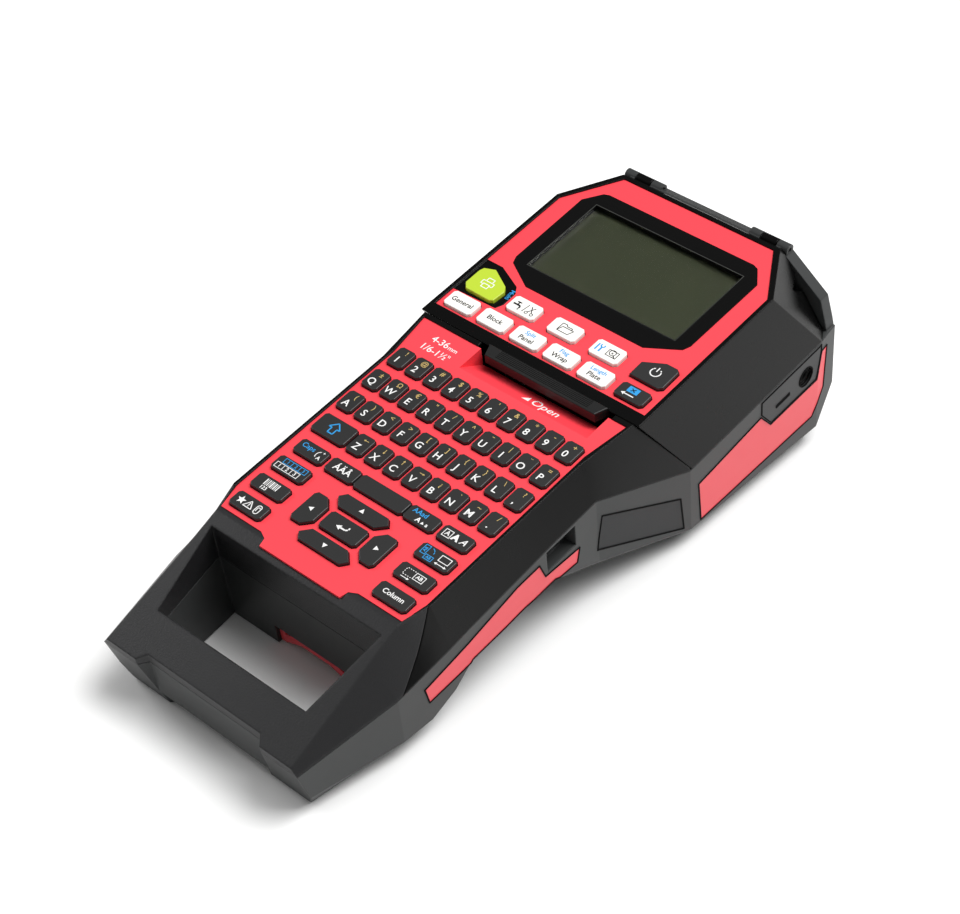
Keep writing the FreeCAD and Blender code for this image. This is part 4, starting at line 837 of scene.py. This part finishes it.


# ---- seams of painted shade and inner labels ----------------------------------
@dataclass(frozen=True)
class SeamShadeLines:
    """Painted shade: dark rods drawn round the outer face of a piece that is let into the case, standing in for the
    shade in the gap round it.
    """

    width: float = 0.55
    crease_degrees: float = 35.0
    outward: float = 0.55
    overlap: float = 0.6
    weld: float = 1e-6

    def build(self, node: str) -> None:
        """Draws the painted shade of the gap round one CAD node.

        Args:
            node: name of the node, whose outer faces look left or right.
        """
        source = bmesh.new()
        source.from_mesh(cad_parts[node].data)
        bmesh.ops.remove_doubles(source, verts=source.verts, dist=self.weld)
        work = bmesh.new()
        for edge in source.edges:
            faces = edge.link_faces
            if len(faces) != 2 or edge.calc_face_angle(0.0) < math.radians(self.crease_degrees):
                continue
            if max(abs(face.normal.x) for face in faces) > self.outward:
                self._line(work, *(vert.co / MM for vert in edge.verts))
        source.free()
        mesh = bpy.data.meshes.new(node + "_seam_shade")
        work.transform(Matrix.Scale(MM, 4))
        work.to_mesh(mesh)
        work.free()
        piece = bpy.data.objects.new(node + "_seam_shade", mesh)
        bpy.context.scene.collection.objects.link(piece)
        mesh.materials.append(SEAM_SHADE.material())
        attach(piece, "machine")
        LOG.info("%s: %d faces", piece.name, len(mesh.polygons))

    def _line(self, work: bmesh.types.BMesh, a: Vector, b: Vector) -> None:
        """Adds one thin square rod of painted shade.

        Args:
            work: the mesh it is added to, in mm.
            a: one end.
            b: the other end.
        """
        along = b - a
        place = Matrix.Translation((a + b) / 2) @ along.to_track_quat("Z", "Y").to_matrix().to_4x4()
        stretch = Matrix.Diagonal((self.width, self.width, along.length + self.width * self.overlap, 1.0))
        bmesh.ops.create_cube(work, size=1.0, matrix=place @ stretch)


@dataclass
class CassetteLabel:
    """Sticker on the top of the tape cassette."""

    left: float = -34.0
    right: float = 8.0
    near: float = 84.0
    far: float = 128.0
    top: float = -31.0
    sheet: float = 0.12
    bars: int = 5
    first_bar: Point = (14.0, 6.0)
    bar_pitch: float = 4.4
    bar_length: float = 20.0
    bar_stagger: float = 3.0
    bar_width: float = 1.2
    word_size: float = 9.0
    word_inset: float = 9.0

    def build(self) -> None:
        """Builds the sticker and its plain printed bars."""
        sheet = Print("cassette_sticker", "cassette", STICKER, "label_tape", base=self.top, thickness=self.sheet)
        sheet.block((self.left + self.right) / 2, (self.near + self.far) / 2, self.right - self.left,
                    self.far - self.near)
        sheet.done()
        ink = Print("cassette_sticker_ink", "cassette", STICKER_INK, "label_tape", base=self.top + self.sheet)
        for k in range(self.bars):
            step = self.bar_stagger * (k % 2)
            ink.block(self.left + self.first_bar[0] + step / 2, self.near + self.first_bar[1] + self.bar_pitch * k,
                      self.bar_length - step, self.bar_width)
        ink.word("36 mm", (self.left + self.right) / 2, self.far - self.word_inset, self.word_size, 0.1)
        ink.done()


# ---- studio -------------------------------------------------------------------------
@dataclass(frozen=True)
class Softbox:
    """A soft square light: where it hangs and its side in metres, and its power in watts."""

    name: str
    place: Place
    size: float
    power: float


@dataclass
class Studio:
    """Plain pale floor, soft lights and the camera."""

    camera_place: Place = (0.46119, -0.54182, 0.65098)
    camera_turn: Place = (49.655, -0.821, 41.169)
    lens: float = 85.02
    sensor: float = 36.0
    floor_half: float = 4.0
    sky: float = 0.30
    mirrored_sky: float = 0.07
    seen_sky: float = 1.0
    clip_start: float = 0.01
    aim: Place = (0.0, 0.0, 0.03)
    softboxes: tuple[Softbox, ...] = (Softbox("key_softbox", (-2.9, -0.6, 2.0), 1.0, 42.0),
                                      Softbox("top_softbox", (1.0, 1.0, 3.0), 2.4, 135.0))

    def floor(self) -> None:
        """Lays the floor."""
        work = bmesh.new()
        bmesh.ops.create_grid(work, x_segments=1, y_segments=1, size=self.floor_half)
        mesh = bpy.data.meshes.new("studio_floor")
        work.to_mesh(mesh)
        work.free()
        floor = bpy.data.objects.new("studio_floor", mesh)
        mesh.materials.append(FLOOR.material())
        bpy.context.scene.collection.objects.link(floor)

    def light(self, box: Softbox) -> None:
        """Hangs one light so that it faces the machine.

        Args:
            box: the light.
        """
        lamp = bpy.data.lights.new(box.name, "AREA")
        lamp.shape = "SQUARE"
        lamp.size = box.size
        lamp.energy = box.power
        holder = bpy.data.objects.new(box.name, lamp)
        holder.location = box.place
        direction = Vector(self.aim) - Vector(box.place)
        holder.rotation_euler = direction.to_track_quat("-Z", "Y").to_euler()
        bpy.context.scene.collection.objects.link(holder)

    def lights(self) -> None:
        """Hangs the lights and sets the pale surroundings."""
        for box in self.softboxes:
            self.light(box)
        world = bpy.data.worlds.new("studio_world")
        world.use_nodes = True
        backdrop = world.node_tree.nodes["Background"]
        backdrop.inputs["Color"].default_value = (1.0, 1.0, 1.0, 1.0)
        path = world.node_tree.nodes.new("ShaderNodeLightPath")
        strength = self.sky
        for ray, wanted in (("Is Glossy Ray", self.mirrored_sky), ("Is Camera Ray", self.seen_sky)):
            step = world.node_tree.nodes.new("ShaderNodeMath")
            step.operation = "MULTIPLY_ADD"
            step.inputs[1].default_value = wanted - self.sky
            world.node_tree.links.new(path.outputs[ray], step.inputs[0])
            if isinstance(strength, float):
                step.inputs[2].default_value = strength
            else:
                world.node_tree.links.new(strength, step.inputs[2])
            strength = step.outputs[0]
        world.node_tree.links.new(strength, backdrop.inputs["Strength"])
        bpy.context.scene.world = world
        bpy.context.scene.view_settings.view_transform = "Standard"

    def camera(self) -> None:
        """Sets the camera."""
        lens = bpy.data.cameras.new("camera")
        lens.lens = self.lens
        lens.sensor_width = self.sensor
        lens.clip_start = self.clip_start
        holder = bpy.data.objects.new("camera", lens)
        holder.location = self.camera_place
        holder.rotation_euler = [math.radians(a) for a in self.camera_turn]
        bpy.context.scene.collection.objects.link(holder)
        bpy.context.scene.camera = holder

    def build(self) -> None:
        """Sets up the whole studio."""
        self.floor()
        self.lights()
        self.camera()


def write_sizes() -> None:
    """Updates the view layer."""

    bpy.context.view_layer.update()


def main() -> None:
    """Builds the looks in order."""
    dress_cad_nodes()
    Keyboard().build()
    CoverPrint().build()
    DeckPrint().build()
    # Painted shade: dark rods along the gaps round these let-in pieces.
    for node in ("front_side_inlays", "rear_side_inlays", "waist_grips", "dc_jack_plate"):
        SeamShadeLines().build(node)
    CassetteLabel().build()
    Studio().build()
    write_sizes()


if __name__ == "__main__":
    main()
